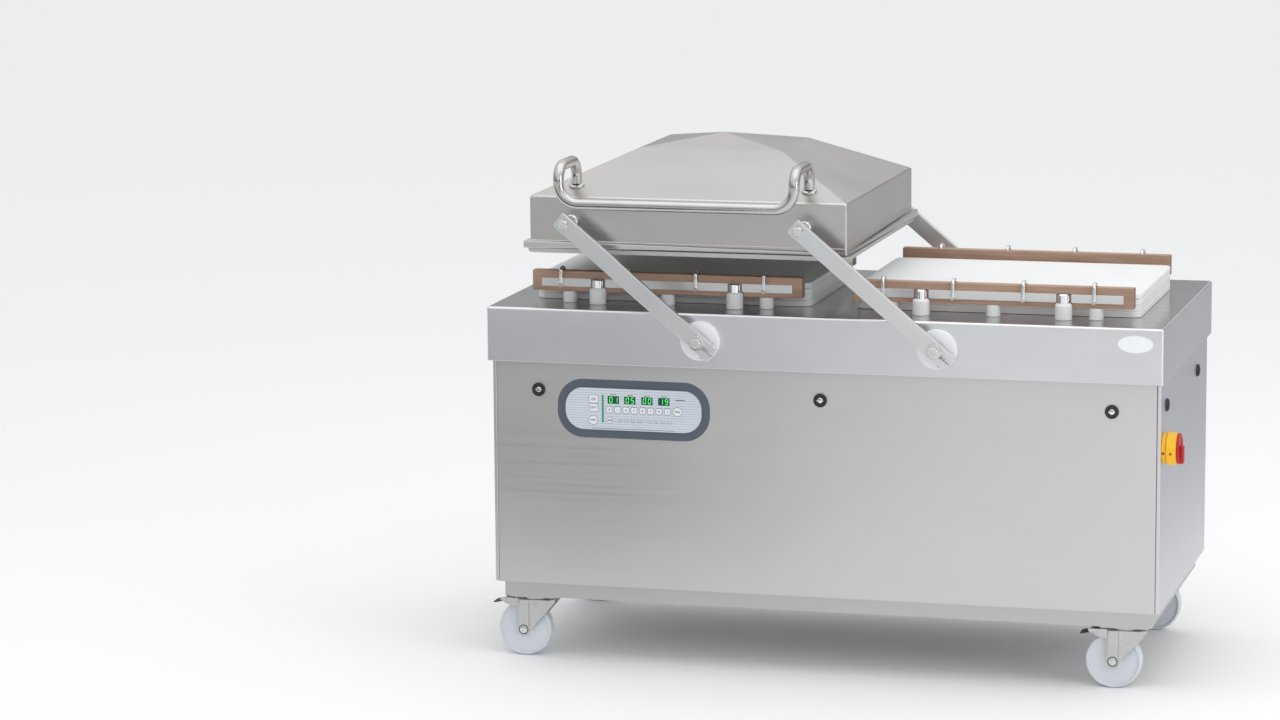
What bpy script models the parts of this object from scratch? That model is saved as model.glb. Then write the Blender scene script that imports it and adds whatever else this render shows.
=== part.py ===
"""Double-chamber vacuum packing machine with one swing-over lid.

A stainless cabinet on four swivel casters carries a flat table with two sealing
stations.  One lid hangs on four parallel arms and swings from station to station.
Units are metres, +X is to the operator's right, +Y away from the operator, +Z up.
The machine stands on z = 0, and the middle of its outline lies on the origin.
"""
import math

import bmesh
import bpy
from mathutils import Matrix, Vector

# ---------------------------------------------------------------- general
GAP = 0.0003                  # between pieces that touch
RUNNING = 0.0006              # radial clearance of a turning or sliding fit

# ---------------------------------------------------------------- table and cabinet
TABLE_WIDTH = 1.540
TABLE_DEPTH = 0.750
TABLE_HEIGHT = 0.820
TABLE_SKIRT = 0.124
TABLE_SHEET = 0.003
TABLE_EDGE_RADIUS = 0.006

SIDE_SETBACK = 0.007          # side panels behind the table's skirt
FRONT_SETBACK = 0.021
CABINET_WIDTH = TABLE_WIDTH - 2 * SIDE_SETBACK
CABINET_DEPTH = TABLE_DEPTH - 2 * FRONT_SETBACK
PANEL_SHEET = 0.002
PANEL_SEAM = 0.0006
CORNER_RETURN = 0.009         # front and rear lips of the side panels
PANEL_TUCK = 0.015            # how far the panels reach up behind the table's skirt

PLINTH_WIDTH = CABINET_WIDTH - 2 * 0.0185
PLINTH_DEPTH = CABINET_DEPTH - 2 * 0.014
PLINTH_VISIBLE = 0.036
PAN_SHEET = 0.003
FRAME_SHEET = 0.003
FRAME_STRIP = 0.032

# ---------------------------------------------------------------- casters
CASTER_HEIGHT = 0.1455
WHEEL_RADIUS = 0.0625
WHEEL_WIDTH = 0.034
CASTER_TRAIL = 0.026
CASTER_PLATE = (0.105, 0.085, 0.0035)
CASTER_X = PLINTH_WIDTH / 2 - 0.010 - CASTER_PLATE[0] / 2
CASTER_Y = PLINTH_DEPTH / 2 - 0.004 - CASTER_PLATE[1] / 2
RACE_RADIUS = 0.030
RACE_HEIGHT = 0.0065
FORK_SHEET = 0.003
FORK_HEAD_LENGTH = 0.094
FORK_TAIL = 0.082             # the cheeks reach this far behind the swivel axis
FORK_NOSE = 0.049
FORK_FLAP = 0.019             # height of the flap that holds the pedal
AXLE_EYE = 0.0155
KING_PIN_RADIUS = 0.0075
KING_HEAD_RADIUS = 0.012
PEDAL_HINGE = 0.060
PEDAL_PIN = 0.002
PEDAL_TIP = 0.101
PEDAL_SLOPE = math.radians(12.0)
AXLE_RADIUS = 0.006
HUB_SIDE_GAP = 0.0012

# ---------------------------------------------------------------- sealing stations
STATION_X = TABLE_WIDTH / 2 - 0.3965
BAR_LENGTH = 0.630
BAR_WIDTH = 0.026
BAR_HEIGHT = 0.046
BAR_FRONT = 0.279             # outer face of a bar from the middle of the table
POST_HEIGHT = 0.0265
POST_RADIUS = 0.016
POST_PITCH = 0.230
STUD_RADIUS = 0.006
LIFT_PITCH = 0.320            # between the two pistons of one bar
LIFT_Y = 0.283
LIFT_CAP_RADIUS = 0.019
LIFT_CAP_HEIGHT = 0.037
LIFT_SHANK_RADIUS = 0.0155
PISTON_RADIUS = 0.013
PISTON_TOP = 0.0577
ROD_RADIUS = 0.006
LIFT_TRAVEL = 0.012
RAIL_HEIGHT = 0.018
RAIL_WIDTH = 0.050
TIE_HEIGHT = 0.008
TIE_CLEARANCE = 0.006         # below the cross shaft when lifted
STRIP_INSET = 0.022           # groove of the aluminium strip, from the bar's ends
STRIP_LOW = 0.010
STRIP_HEIGHT = 0.020
STRIP_DEPTH = 0.001
PLATE_LENGTH = 0.645
PLATE_DEPTH = 0.456
PLATE_THICKNESS = 0.0135
PLATE_CORNER = 0.022
PLATES_BELOW = 3
PORT_RADIUS = 0.020

# ---------------------------------------------------------------- swing linkage
PIVOT_X = 0.2693
PIVOT_DROP = 0.061            # below the table surface
ARM_LENGTH = 0.400
REST_LEAN = math.radians(50.0)
ARM_WIDTH = 0.038
ARM_THICKNESS = 0.0125
ARM_END_TOP = 0.019
ARM_END_BOTTOM = 0.045
CLAMP_SLIT = 0.003
DISC_RADIUS = 0.045
DISC_THICKNESS = 0.010
ARM_STANDOFF = 0.012          # from the disc's face to the back of the arm
SHAFT_RADIUS = 0.0125
BOLT_HEAD_RADIUS = 0.012
BOLT_HEAD_HEIGHT = 0.0117
BOLT_RADIUS = 0.008
SPRING_RADIUS = 0.0235        # mean radius of the coil round the shaft
SPRING_WIRE = 0.004           # radius of the wire
SPRING_TURNS = 7
SPRING_Y = 0.060              # where the coil starts
SPRING_LENGTH = 0.085
SPRING_COLLAR_RADIUS = 0.034
SPRING_COLLAR = 0.014

# ---------------------------------------------------------------- lid
LID_WIDTH = 0.7317
LID_DEPTH = 0.6990
LID_SHEET = 0.0025
LID_WALL_TOP = 0.1165         # above the lid's lower edge
KNEE_WIDTH = 0.3325
KNEE_DEPTH = 0.2780
KNEE_HEIGHT = 0.2070
APEX_HEIGHT = 0.2320
FLANGE_HEIGHT = 0.0165
FLANGE_LIP = 0.012
PIVOT_ON_LID = 0.0615
BOSS_RADIUS = 0.013
GASKET_HEIGHT = 0.0105
GASKET_WIDTH = 0.014
GASKET_INSET = 0.005
HANDLE_RADIUS = 0.0125
HANDLE_FOOT_Y = 0.300
HANDLE_BAR_Y = 0.445
HANDLE_TOP = 0.1965
HANDLE_BAR_Z = 0.1135
HANDLE_BEND = 0.045
COLLAR_RADIUS = 0.018
COLLAR_HEIGHT = 0.005
COUNTER_BAR_CLEAR = LIFT_TRAVEL + 0.0005    # over the seal bar when the lid is shut
COUNTER_BAR_HEIGHT = 0.022

# ---------------------------------------------------------------- operator's controls
BEZEL_LENGTH = 0.356
BEZEL_HEIGHT = 0.134
BEZEL_RING = 0.0190
BEZEL_DEPTH = 0.012
BEZEL_X = -0.432
BEZEL_Z = TABLE_HEIGHT - 0.2285
KEYPAD_THICKNESS = 0.003
LOCK_X = TABLE_WIDTH / 2 - 0.1155
LOCK_Z = TABLE_HEIGHT - 0.1895
LOCK_RADIUS = 0.0155
LOCK_SHANK = 0.010
LOCK_CAM = 0.034
SWITCH_Y = -0.317
SWITCH_Z = TABLE_HEIGHT - 0.272
SWITCH_RADIUS = 0.038
SWITCH_BASE_RADIUS = 0.034
SWITCH_DEPTH = 0.032
KNOB_RADIUS = 0.0345
KNOB_REACH = 0.046

# ---------------------------------------------------------------- inside the cabinet
PUMP_SIZE = (0.260, 0.190, 0.210)
PUMP_X = 0.500
PUMP_Y = -0.170
MOTOR_RADIUS = 0.075
MOTOR_LENGTH = 0.220
FILTER_RADIUS = 0.050
TRANSFORMER_SIZE = (0.150, 0.110, 0.120)
TRANSFORMER_X = -0.560
TRANSFORMER_Y = 0.060
CONTROL_BOX_SIZE = (0.290, 0.090, 0.110)

# ---------------------------------------------------------------- worked out
CABINET_BOTTOM = CASTER_HEIGHT + PLINTH_VISIBLE
SKIRT_BOTTOM = TABLE_HEIGHT - TABLE_SKIRT
PANEL_TOP = SKIRT_BOTTOM + PANEL_TUCK
PANEL_FACE = CABINET_DEPTH / 2
PAN_HEIGHT = PLINTH_VISIBLE - GAP
FRAME_DEPTH = PLINTH_DEPTH - 2 * (PAN_SHEET + GAP)
PANEL_RETURN = PANEL_FACE - FRAME_DEPTH / 2 - GAP
PIVOT_Z = TABLE_HEIGHT - PIVOT_DROP
DISC_FACE = TABLE_DEPTH / 2 + GAP + DISC_THICKNESS
ARM_BACK = DISC_FACE + ARM_STANDOFF
ARM_FACE = ARM_BACK + ARM_THICKNESS
LID_X = -ARM_LENGTH * math.sin(REST_LEAN)
LID_Z = PIVOT_Z + ARM_LENGTH * math.cos(REST_LEAN) - PIVOT_ON_LID
BAR_Y = BAR_FRONT - BAR_WIDTH / 2
BAR_BOTTOM = POST_HEIGHT + GAP
PAN_FLOOR = CASTER_HEIGHT + PAN_SHEET + GAP

LEFT_REACH = max(CASTER_X + PEDAL_TIP, TABLE_WIDTH / 2)
RIGHT_REACH = max(CABINET_WIDTH / 2 + KNOB_REACH, TABLE_WIDTH / 2)
FRONT_REACH = HANDLE_BAR_Y + HANDLE_RADIUS
REAR_REACH = ARM_FACE + GAP + BOLT_HEAD_HEIGHT
ORIGIN_X = (RIGHT_REACH - LEFT_REACH) / 2
ORIGIN_Y = (REAR_REACH - FRONT_REACH) / 2


# ================================================================ tools
def clear_scene():
    for item in list(bpy.data.objects):
        bpy.data.objects.remove(item, do_unlink=True)


def new_collection(name):
    group = bpy.data.collections.new(name)
    bpy.context.scene.collection.children.link(group)
    return group


def finish(name, colour, roughness, metallic=0.0):
    """A Principled material with one colour, roughness and metallic value."""
    material = bpy.data.materials.new(name)
    material.use_nodes = True
    shader = material.node_tree.nodes["Principled BSDF"]
    shader.inputs["Base Color"].default_value = (*colour, 1.0)
    shader.inputs["Roughness"].default_value = roughness
    shader.inputs["Metallic"].default_value = metallic
    return material


STEEL = ((0.60, 0.60, 0.61), 0.35, 1.0)
CHROME = ((0.80, 0.80, 0.81), 0.12, 1.0)
ALUMINIUM = ((0.70, 0.70, 0.70), 0.40, 1.0)
WHITE_PLASTIC = ((0.86, 0.86, 0.85), 0.45)
NYLON = ((0.72, 0.73, 0.76), 0.40)
PHENOLIC = ((0.42, 0.25, 0.15), 0.55)
SILICONE = ((0.50, 0.50, 0.49), 0.60)
BLACK_PLASTIC = ((0.02, 0.02, 0.02), 0.40)
SLATE_PLASTIC = ((0.11, 0.13, 0.15), 0.50)
KEYPAD_FOIL = ((0.70, 0.72, 0.70), 0.45)
YELLOW_PLASTIC = ((0.90, 0.50, 0.02), 0.40)
RED_PLASTIC = ((0.45, 0.01, 0.02), 0.35)
PUMP_PAINT = ((0.22, 0.25, 0.28), 0.50)
GREY_PAINT = ((0.45, 0.46, 0.46), 0.50)


def place(item, location=(0, 0, 0), rotation=(0, 0, 0), parent=None):
    item.location = location
    item.rotation_euler = rotation
    item.parent = parent
    return item


def pivot(name, location, parent=None, rotation=(0, 0, 0)):
    """An empty that carries pieces: a joint's axis or a local frame."""
    empty = bpy.data.objects.new(name, None)
    parts.objects.link(empty)
    return place(empty, location, rotation, parent)


def take(item, name):
    """Names a new object and moves it to the collection of shapes that cut or join."""
    item.name = name
    item.data.name = name
    for group in list(item.users_collection):
        group.objects.unlink(item)
    cutters.objects.link(item)
    item.hide_render = True
    item.display_type = "WIRE"
    return item


def shape_from(mesh_builder, name):
    mesh = bpy.data.meshes.new(name)
    shape = bmesh.new()
    mesh_builder(shape)
    shape.to_mesh(mesh)
    shape.free()
    return take(bpy.data.objects.new(name, mesh), name)


def block(name, size, location=(0, 0, 0), parent=None, rotation=(0, 0, 0), round_edges=0.0):
    def build(shape):
        bmesh.ops.create_cube(shape, size=1.0)
        bmesh.ops.scale(shape, vec=size, verts=shape.verts)

    item = place(shape_from(build, name), location, rotation, parent)
    if round_edges:
        bevel(item, round_edges)
    return item


def rod(name, radius, length, location=(0, 0, 0), parent=None, axis="Z", sides=24):
    """A cylinder about X, Y or Z, centred on its location."""
    def build(shape):
        bmesh.ops.create_cone(shape, cap_ends=True, segments=sides, radius1=radius,
                              radius2=radius, depth=length)

    turn = {"X": (0, math.pi / 2, 0), "Y": (math.pi / 2, 0, 0), "Z": (0, 0, 0)}[axis]
    item = place(shape_from(build, name), location, turn, parent)
    return round_piece(item)


def round_piece(item):
    item.data.shade_smooth()
    item.data.set_sharp_from_angle(angle=math.radians(35))
    return item


def bevel(item, width, segments=2, angle=30.0):
    modifier = item.modifiers.new("rounded edges", "BEVEL")
    modifier.width = width
    modifier.segments = segments
    modifier.limit_method = "ANGLE"
    modifier.angle_limit = math.radians(angle)


def turned(name, profile, location=(0, 0, 0), parent=None, rotation=(0, 0, 0), steps=24):
    """A turned piece: (radius, height) points from top to bottom, about Z."""
    def build(shape):
        points = [shape.verts.new((radius, 0.0, height)) for radius, height in profile]
        for upper, lower in zip(points, points[1:]):
            shape.edges.new((upper, lower))
        if profile[0][0] > 0.0:
            shape.edges.new((points[-1], points[0]))

    item = place(shape_from(build, name), location, rotation, parent)
    screw = item.modifiers.new("turned", "SCREW")
    screw.axis = "Z"
    screw.steps = steps
    screw.render_steps = steps
    screw.use_merge_vertices = True
    screw.merge_threshold = 0.00001
    screw.use_smooth_shade = False
    return item


def flat_outline(name, points, thickness, location=(0, 0, 0), parent=None, rotation=(0, 0, 0)):
    """A plate cut to an outline in its own XY plane, centred on its thickness."""
    curve = bpy.data.curves.new(name, "CURVE")
    curve.dimensions = "2D"
    curve.fill_mode = "BOTH"
    curve.extrude = thickness / 2
    spline = curve.splines.new("POLY")
    spline.points.add(len(points) - 1)
    for point, (x, y) in zip(spline.points, points):
        point.co = (x, y, 0.0, 1.0)
    spline.use_cyclic_u = True
    return place(meshed(name, curve), location, rotation, parent)


def meshed(name, curve):
    """Turns a curve into a mesh object with its caps welded."""
    source = bpy.data.objects.new(name, curve)
    parts.objects.link(source)
    view = bpy.context.evaluated_depsgraph_get()
    mesh = bpy.data.meshes.new_from_object(source.evaluated_get(view))
    bpy.data.objects.remove(source, do_unlink=True)
    shape = bmesh.new()
    shape.from_mesh(mesh)
    bmesh.ops.remove_doubles(shape, verts=shape.verts, dist=0.00001)
    bmesh.ops.recalc_face_normals(shape, faces=shape.faces)
    shape.to_mesh(mesh)
    shape.free()
    return take(bpy.data.objects.new(name, mesh), name)


def tube_along(name, points, radius, parent=None, resolution=2, location=(0, 0, 0)):
    """A round tube through the points, with filled ends."""
    curve = bpy.data.curves.new(name, "CURVE")
    curve.dimensions = "3D"
    curve.bevel_depth = radius
    curve.bevel_resolution = resolution
    curve.use_fill_caps = True
    spline = curve.splines.new("POLY")
    spline.points.add(len(points) - 1)
    for point, place_ in zip(spline.points, points):
        point.co = (*place_, 1.0)
    return place(meshed(name, curve), location, (0, 0, 0), parent)


def combine(item, other, operation):
    modifier = item.modifiers.new(other.name, "BOOLEAN")
    modifier.operation = operation
    modifier.solver = "EXACT"
    modifier.object = other


def cut(item, *others):
    for other in others:
        combine(item, other, "DIFFERENCE")
    return item


def join(item, *others):
    for other in others:
        combine(item, other, "UNION")
    return item


def part(item, look):
    """Makes a finished shape one of the machine's parts."""
    cutters.objects.unlink(item)
    parts.objects.link(item)
    item.hide_render = False
    item.display_type = "TEXTURED"
    item.data.materials.append(finish(item.name, *look))
    return item


def rounded_rectangle(length, height, radius, steps=6):
    """Corner points of a rectangle with round corners, anticlockwise."""
    points = []
    for corner, (side_x, side_y) in enumerate(((1, 1), (-1, 1), (-1, -1), (1, -1))):
        for step in range(steps + 1):
            angle = math.radians(90.0 * (corner + step / steps))
            points.append((side_x * (length / 2 - radius) + radius * math.cos(angle),
                           side_y * (height / 2 - radius) + radius * math.sin(angle)))
    return points


def bend(before, corner, after, radius, steps=5):
    """Points of a round bend at a corner between two straight runs."""
    towards_before = (Vector(before) - Vector(corner)).normalized()
    towards_after = (Vector(after) - Vector(corner)).normalized()
    half = towards_before.angle(towards_after) / 2
    middle = (towards_before + towards_after).normalized()
    centre = Vector(corner) + middle * (radius / math.sin(half))
    start = Vector(corner) + towards_before * (radius / math.tan(half)) - centre
    finish_ = Vector(corner) + towards_after * (radius / math.tan(half)) - centre
    return [tuple(centre + start.slerp(finish_, step / steps).normalized() * radius)
            for step in range(steps + 1)]


# ================================================================ base and cabinet
def base_frame():
    """Folded pan with the mounting plates and swivel races of the casters."""
    low = CASTER_HEIGHT
    pan = block("base_frame", (PLINTH_WIDTH, PLINTH_DEPTH, PAN_HEIGHT),
                (0, 0, low + PAN_HEIGHT / 2), machine)
    cut(pan, block("pan_hollow", (PLINTH_WIDTH - 2 * PAN_SHEET, PLINTH_DEPTH - 2 * PAN_SHEET,
                                  PAN_HEIGHT), (0, 0, low + PAN_SHEET + PAN_HEIGHT / 2), machine))
    sink = PAN_SHEET / 3
    for x, y in caster_places():
        length, width, thickness = CASTER_PLATE
        join(pan, block("caster_plate", (length, width, thickness + sink),
                        (x, y, low + (sink - thickness) / 2), machine))
        pin_low = low + fork_top() - FORK_SHEET - RUNNING
        join(pan,
             rod("caster_race", RACE_RADIUS, RACE_HEIGHT + thickness,
                 (x, y, low - (RACE_HEIGHT + thickness) / 2), machine, "Z", 20),
             rod("king_pin", KING_PIN_RADIUS, low - pin_low + 0.003,
                 (x, y, (low + pin_low - 0.003) / 2), machine, "Z", 12),
             rod("king_head", KING_HEAD_RADIUS, 0.0025, (x, y, pin_low - 0.00125), machine,
                 "Z", 12))
    part(pan, STEEL)


def caster_places():
    return [(side * CASTER_X, end * CASTER_Y) for end in (-1, 1) for side in (-1, 1)]


def cabinet_frame():
    """Corner posts and rings that carry the table on the base pan."""
    width = PLINTH_WIDTH - 2 * (PAN_SHEET + GAP)
    depth = FRAME_DEPTH
    low = PAN_FLOOR
    high = TABLE_HEIGHT - TABLE_SHEET - GAP
    height = high - low
    middle = (low + high) / 2
    frame = block("cabinet_frame", (width, depth, height), (0, 0, middle), machine)
    inner_width = width - 2 * FRAME_SHEET
    inner_depth = depth - 2 * FRAME_SHEET
    window = height - 2 * FRAME_STRIP
    cut(frame,
        block("frame_hollow", (inner_width, inner_depth, height * 1.1), (0, 0, middle), machine),
        block("frame_window_front", (inner_width - 2 * FRAME_STRIP, depth * 1.1, window),
              (0, 0, middle), machine),
        block("frame_window_side", (width * 1.1, inner_depth - 2 * FRAME_STRIP, window),
              (0, 0, middle), machine))
    part(frame, STEEL)


def tray(name, width, height, x, z, facing):
    """A sheet cover with folded edges, its face on the cabinet's front (-1) or rear (+1)."""
    depth = PANEL_RETURN
    face = facing * PANEL_FACE
    cover = block(name, (width, depth, height), (x, face - facing * depth / 2, z), machine)
    hollow_height = height - 2 * PANEL_SHEET
    cut(cover, block(name + "_hollow", (width - 2 * PANEL_SHEET, depth, hollow_height),
                     (x, face - facing * (PANEL_SHEET + depth / 2), z), machine))
    return cover


def front_and_rear_panels():
    width = CABINET_WIDTH - 2 * (CORNER_RETURN + PANEL_SEAM)
    height = PANEL_TOP - CABINET_BOTTOM
    middle = (PANEL_TOP + CABINET_BOTTOM) / 2
    front = tray("front_panel", width, height, 0, middle, -1)
    for x in lock_places():
        cut(front, rod("lock_hole", LOCK_SHANK + RUNNING, 0.04, (x, -PANEL_FACE, LOCK_Z),
                       machine, "Y", 20))
    window = (BEZEL_LENGTH - 2 * BEZEL_RING - 0.03, 0.04, BEZEL_HEIGHT - 2 * BEZEL_RING - 0.02)
    cut(front, block("control_window", window, (BEZEL_X, -PANEL_FACE, BEZEL_Z), machine))
    part(front, STEEL)

    rear = tray("rear_panel", width, height, 0, middle, 1)
    slot_pitch = 0.022
    for side in (-1, 1):
        for row in range(6):
            cut(rear, block("air_slot", (0.180, 0.04, 0.008),
                            (side * 0.420, PANEL_FACE, CABINET_BOTTOM + 0.120 + row * slot_pitch), machine))
    part(rear, STEEL)


def side_panels():
    depth = CABINET_DEPTH
    height = PANEL_TOP - CABINET_BOTTOM
    middle = (PANEL_TOP + CABINET_BOTTOM) / 2
    for name, side in (("left_side_panel", -1), ("right_side_panel", 1)):
        x = side * (CABINET_WIDTH / 2 - CORNER_RETURN / 2)
        cover = block(name, (CORNER_RETURN, depth, height), (x, 0, middle), machine,
                      round_edges=0.002)
        cut(cover, block(name + "_hollow",
                         (CORNER_RETURN, depth - 2 * PANEL_SHEET, height - 2 * PANEL_SHEET),
                         (x - side * PANEL_SHEET, 0, middle), machine))
        if side > 0:
            cut(cover, rod("switch_hole", 0.012, 0.04, (x, SWITCH_Y, SWITCH_Z), machine, "X", 16))
        part(cover, STEEL)


def lock_places():
    return (-LOCK_X, 0.0, LOCK_X)


def table_top():
    """Pressed table with rolled edges, open below, with holes for what passes through."""
    def build(shape):
        bmesh.ops.create_cube(shape, size=1.0)
        bmesh.ops.scale(shape, vec=(TABLE_WIDTH, TABLE_DEPTH, TABLE_SKIRT), verts=shape.verts)
        rolled = [edge for edge in shape.edges if max(vert.co.z for vert in edge.verts) > 0]
        bmesh.ops.bevel(shape, geom=rolled, offset=TABLE_EDGE_RADIUS, offset_type="OFFSET",
                        segments=2, profile=0.5, affect="EDGES")

    middle = TABLE_HEIGHT - TABLE_SKIRT / 2
    table = place(shape_from(build, "table_top"), (0, 0, middle), parent=machine)
    cut(table, block("table_hollow", (TABLE_WIDTH - 2 * TABLE_SHEET,
                                      TABLE_DEPTH - 2 * TABLE_SHEET, TABLE_SKIRT),
                     (0, 0, middle - TABLE_SHEET), machine))
    for x in (-PIVOT_X, PIVOT_X):
        cut(table, rod("shaft_hole", hub_radius() + GAP, TABLE_DEPTH * 1.1, (x, 0, PIVOT_Z),
                       machine, "Y", 24))
    for station in (left_station, right_station):
        for end in (-1, 1):
            for x in (-LIFT_PITCH / 2, LIFT_PITCH / 2):
                cut(table, rod("lift_hole", LIFT_SHANK_RADIUS + GAP, 0.02,
                               (x, end * LIFT_Y, 0), station, "Z", 16))
            for x in post_places():
                cut(table, rod("post_hole", STUD_RADIUS + GAP, 0.02, (x, end * BAR_Y, 0),
                               station, "Z", 8))
        cut(table, rod("vacuum_port", PORT_RADIUS, 0.02, (0, 0, 0), station, "Z", 24))
    part(table, STEEL)


def post_places():
    return (-POST_PITCH, 0.0, POST_PITCH)


def hub_radius():
    return SHAFT_RADIUS + 0.007


# ================================================================ swing linkage
def pivot_discs():
    """White bearing discs on the skirt, each with a hub through the sheet."""
    hub_back = -0.014
    for depth_name, facing in (("front", -1), ("rear", 1)):
        for side_name, x in (("left", -PIVOT_X), ("right", PIVOT_X)):
            frame = pivot(f"{depth_name}_{side_name}_pivot_frame",
                          (x, facing * TABLE_DEPTH / 2, PIVOT_Z), machine,
                          (-facing * math.pi / 2, 0, 0))
            bore = SHAFT_RADIUS + RUNNING
            profile = [(bore, GAP + DISC_THICKNESS), (DISC_RADIUS - 0.002, GAP + DISC_THICKNESS),
                       (DISC_RADIUS, GAP + DISC_THICKNESS - 0.002), (DISC_RADIUS, GAP),
                       (hub_radius(), GAP), (hub_radius(), hub_back), (bore, hub_back)]
            disc = turned(f"{depth_name}_{side_name}_pivot_disc", profile, parent=frame, steps=28)
            part(disc, WHITE_PLASTIC)


def swing_arms():
    """Four flat arms; each is clamped on its shaft and pinned to the lid."""
    span = ARM_LENGTH + ARM_END_TOP + ARM_END_BOTTOM
    centre = (ARM_LENGTH + ARM_END_TOP - ARM_END_BOTTOM) / 2
    for side_name, swing in (("left", left_swing), ("right", right_swing)):
        for depth_name, facing in (("front", -1), ("rear", 1)):
            y = facing * (ARM_BACK + ARM_THICKNESS / 2)
            name = f"{depth_name}_{side_name}_arm"
            arm = block(name, (ARM_WIDTH, ARM_THICKNESS, span), (0, y, centre), swing,
                        round_edges=0.0015)
            cut(arm,
                rod("clamp_bore", SHAFT_RADIUS + GAP, 0.05, (0, y, 0), swing, "Y", 24),
                block("clamp_slit", (CLAMP_SLIT, 0.05, ARM_END_BOTTOM * 1.2),
                      (0, y, -ARM_END_BOTTOM * 0.6), swing),
                rod("pin_bore", BOLT_RADIUS + RUNNING, 0.05, (0, y, ARM_LENGTH), swing, "Y", 20))
            part(arm, STEEL)


def cross_shafts():
    """Each shaft ties its front arm to its rear arm; the spring drives its collar."""
    for side_name, swing in (("left", left_swing), ("right", right_swing)):
        name = f"{side_name}_cross_shaft"
        shaft = rod(name, SHAFT_RADIUS, 2 * (ARM_FACE + GAP) + BOLT_HEAD_HEIGHT,
                    (0, 0, 0), swing, "Y")
        for facing in (-1, 1):
            head = ARM_FACE + GAP + BOLT_HEAD_HEIGHT / 2
            join(shaft, rod("shaft_cap", 0.0165, BOLT_HEAD_HEIGHT, (0, facing * head, 0),
                            swing, "Y"))
        join(shaft, rod("spring_collar", SPRING_COLLAR_RADIUS, SPRING_COLLAR,
                        (0, SPRING_Y - SPRING_WIRE - GAP - SPRING_COLLAR / 2, 0), swing, "Y"))
        part(shaft, STEEL)


def balance_springs():
    """Torsion springs round the shafts; the fixed leg bears on the table's underside."""
    per_turn = 8
    count = SPRING_TURNS * per_turn
    for side_name, x in (("left", -PIVOT_X), ("right", PIVOT_X)):
        points = []
        for step in range(count + 1):
            angle = 2 * math.pi * step / per_turn
            points.append((x + SPRING_RADIUS * math.cos(angle),
                           SPRING_Y + SPRING_LENGTH * step / count,
                           PIVOT_Z + SPRING_RADIUS * math.sin(angle)))
        end = points[-1]
        points.append((end[0], end[1], TABLE_HEIGHT - TABLE_SHEET - GAP))
        spring = tube_along(f"{side_name}_balance_spring", points, SPRING_WIRE, machine,
                            resolution=1)
        part(spring, STEEL)


# ================================================================ lid
def lid_hood():
    """Welded hood: upright walls, steep facets to the knee, a shallow pyramid on top."""
    def build(shape):
        bmesh.ops.create_grid(shape, x_segments=1, y_segments=1, size=0.5)
        bmesh.ops.scale(shape, vec=(LID_WIDTH, LID_DEPTH, 1), verts=shape.verts)
        bmesh.ops.translate(shape, vec=(0, 0, FLANGE_HEIGHT / 2), verts=shape.verts)
        face = shape.faces[:][0]
        if face.normal.z < 0:
            face.normal_flip()
        steps = ((LID_WIDTH, LID_DEPTH, LID_WALL_TOP), (KNEE_WIDTH, KNEE_DEPTH, KNEE_HEIGHT))
        for width, depth, height in steps:
            raised = bmesh.ops.extrude_face_region(shape, geom=[face])["geom"]
            shape.faces.remove(face)
            face = [item for item in raised if isinstance(item, bmesh.types.BMFace)][0]
            for vert in face.verts:
                vert.co = (math.copysign(width / 2, vert.co.x),
                           math.copysign(depth / 2, vert.co.y), height)
        apex = bmesh.ops.poke(shape, faces=[face])["verts"][0]
        apex.co.z = APEX_HEIGHT
        bmesh.ops.recalc_face_normals(shape, faces=shape.faces)
        if sum(item.normal.z for item in shape.faces) < 0:
            bmesh.ops.reverse_faces(shape, faces=shape.faces)

    hood = place(shape_from(build, "lid_hood"), parent=lid)
    shell = hood.modifiers.new("sheet", "SOLIDIFY")
    shell.thickness = LID_SHEET
    shell.offset = -1.0
    shell.use_even_offset = True
    flange = block("lid_flange", (LID_WIDTH + 2 * FLANGE_LIP, LID_DEPTH + 2 * FLANGE_LIP,
                                  FLANGE_HEIGHT), (0, 0, FLANGE_HEIGHT / 2), lid,
                   round_edges=0.0015)
    inside = LID_SHEET * 0.6
    cut(flange, block("flange_opening", (LID_WIDTH - 2 * inside, LID_DEPTH - 2 * inside, 0.05),
                      (0, 0, 0), lid))
    join(hood, flange)
    for facing in (-1, 1):
        for x in (-PIVOT_X, PIVOT_X):
            join(hood, lid_pin(x, facing))
    part(hood, STEEL)


def lid_pin(x, facing):
    """Welded boss with the bolt that the arm turns on."""
    frame = pivot("lid_pin_frame", (x, 0, PIVOT_ON_LID), lid, (-facing * math.pi / 2, 0, 0))
    profile = [(0.0, ARM_FACE + GAP + BOLT_HEAD_HEIGHT),
               (BOLT_HEAD_RADIUS, ARM_FACE + GAP + BOLT_HEAD_HEIGHT),
               (BOLT_HEAD_RADIUS, ARM_FACE + GAP), (BOLT_RADIUS, ARM_FACE + GAP),
               (BOLT_RADIUS, ARM_BACK - GAP), (BOSS_RADIUS, ARM_BACK - GAP),
               (BOSS_RADIUS, LID_DEPTH / 2 - LID_SHEET / 2), (0.0, LID_DEPTH / 2 - LID_SHEET / 2)]
    return turned("lid_pin", profile, parent=frame, steps=20)


def lid_gasket():
    """Profile seal under the flange."""
    width = LID_WIDTH + 2 * (FLANGE_LIP - GASKET_INSET)
    depth = LID_DEPTH + 2 * (FLANGE_LIP - GASKET_INSET)
    height = GASKET_HEIGHT - GAP
    middle = -GAP - height / 2
    seal = block("lid_gasket", (width, depth, height), (0, 0, middle), lid, round_edges=0.002)
    cut(seal, block("gasket_opening", (width - 2 * GASKET_WIDTH, depth - 2 * GASKET_WIDTH, 0.05),
                    (0, 0, middle), lid))
    part(seal, SILICONE)


def facet_slope():
    return math.atan2(KNEE_HEIGHT - LID_WALL_TOP, (LID_DEPTH - KNEE_DEPTH) / 2)


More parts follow.
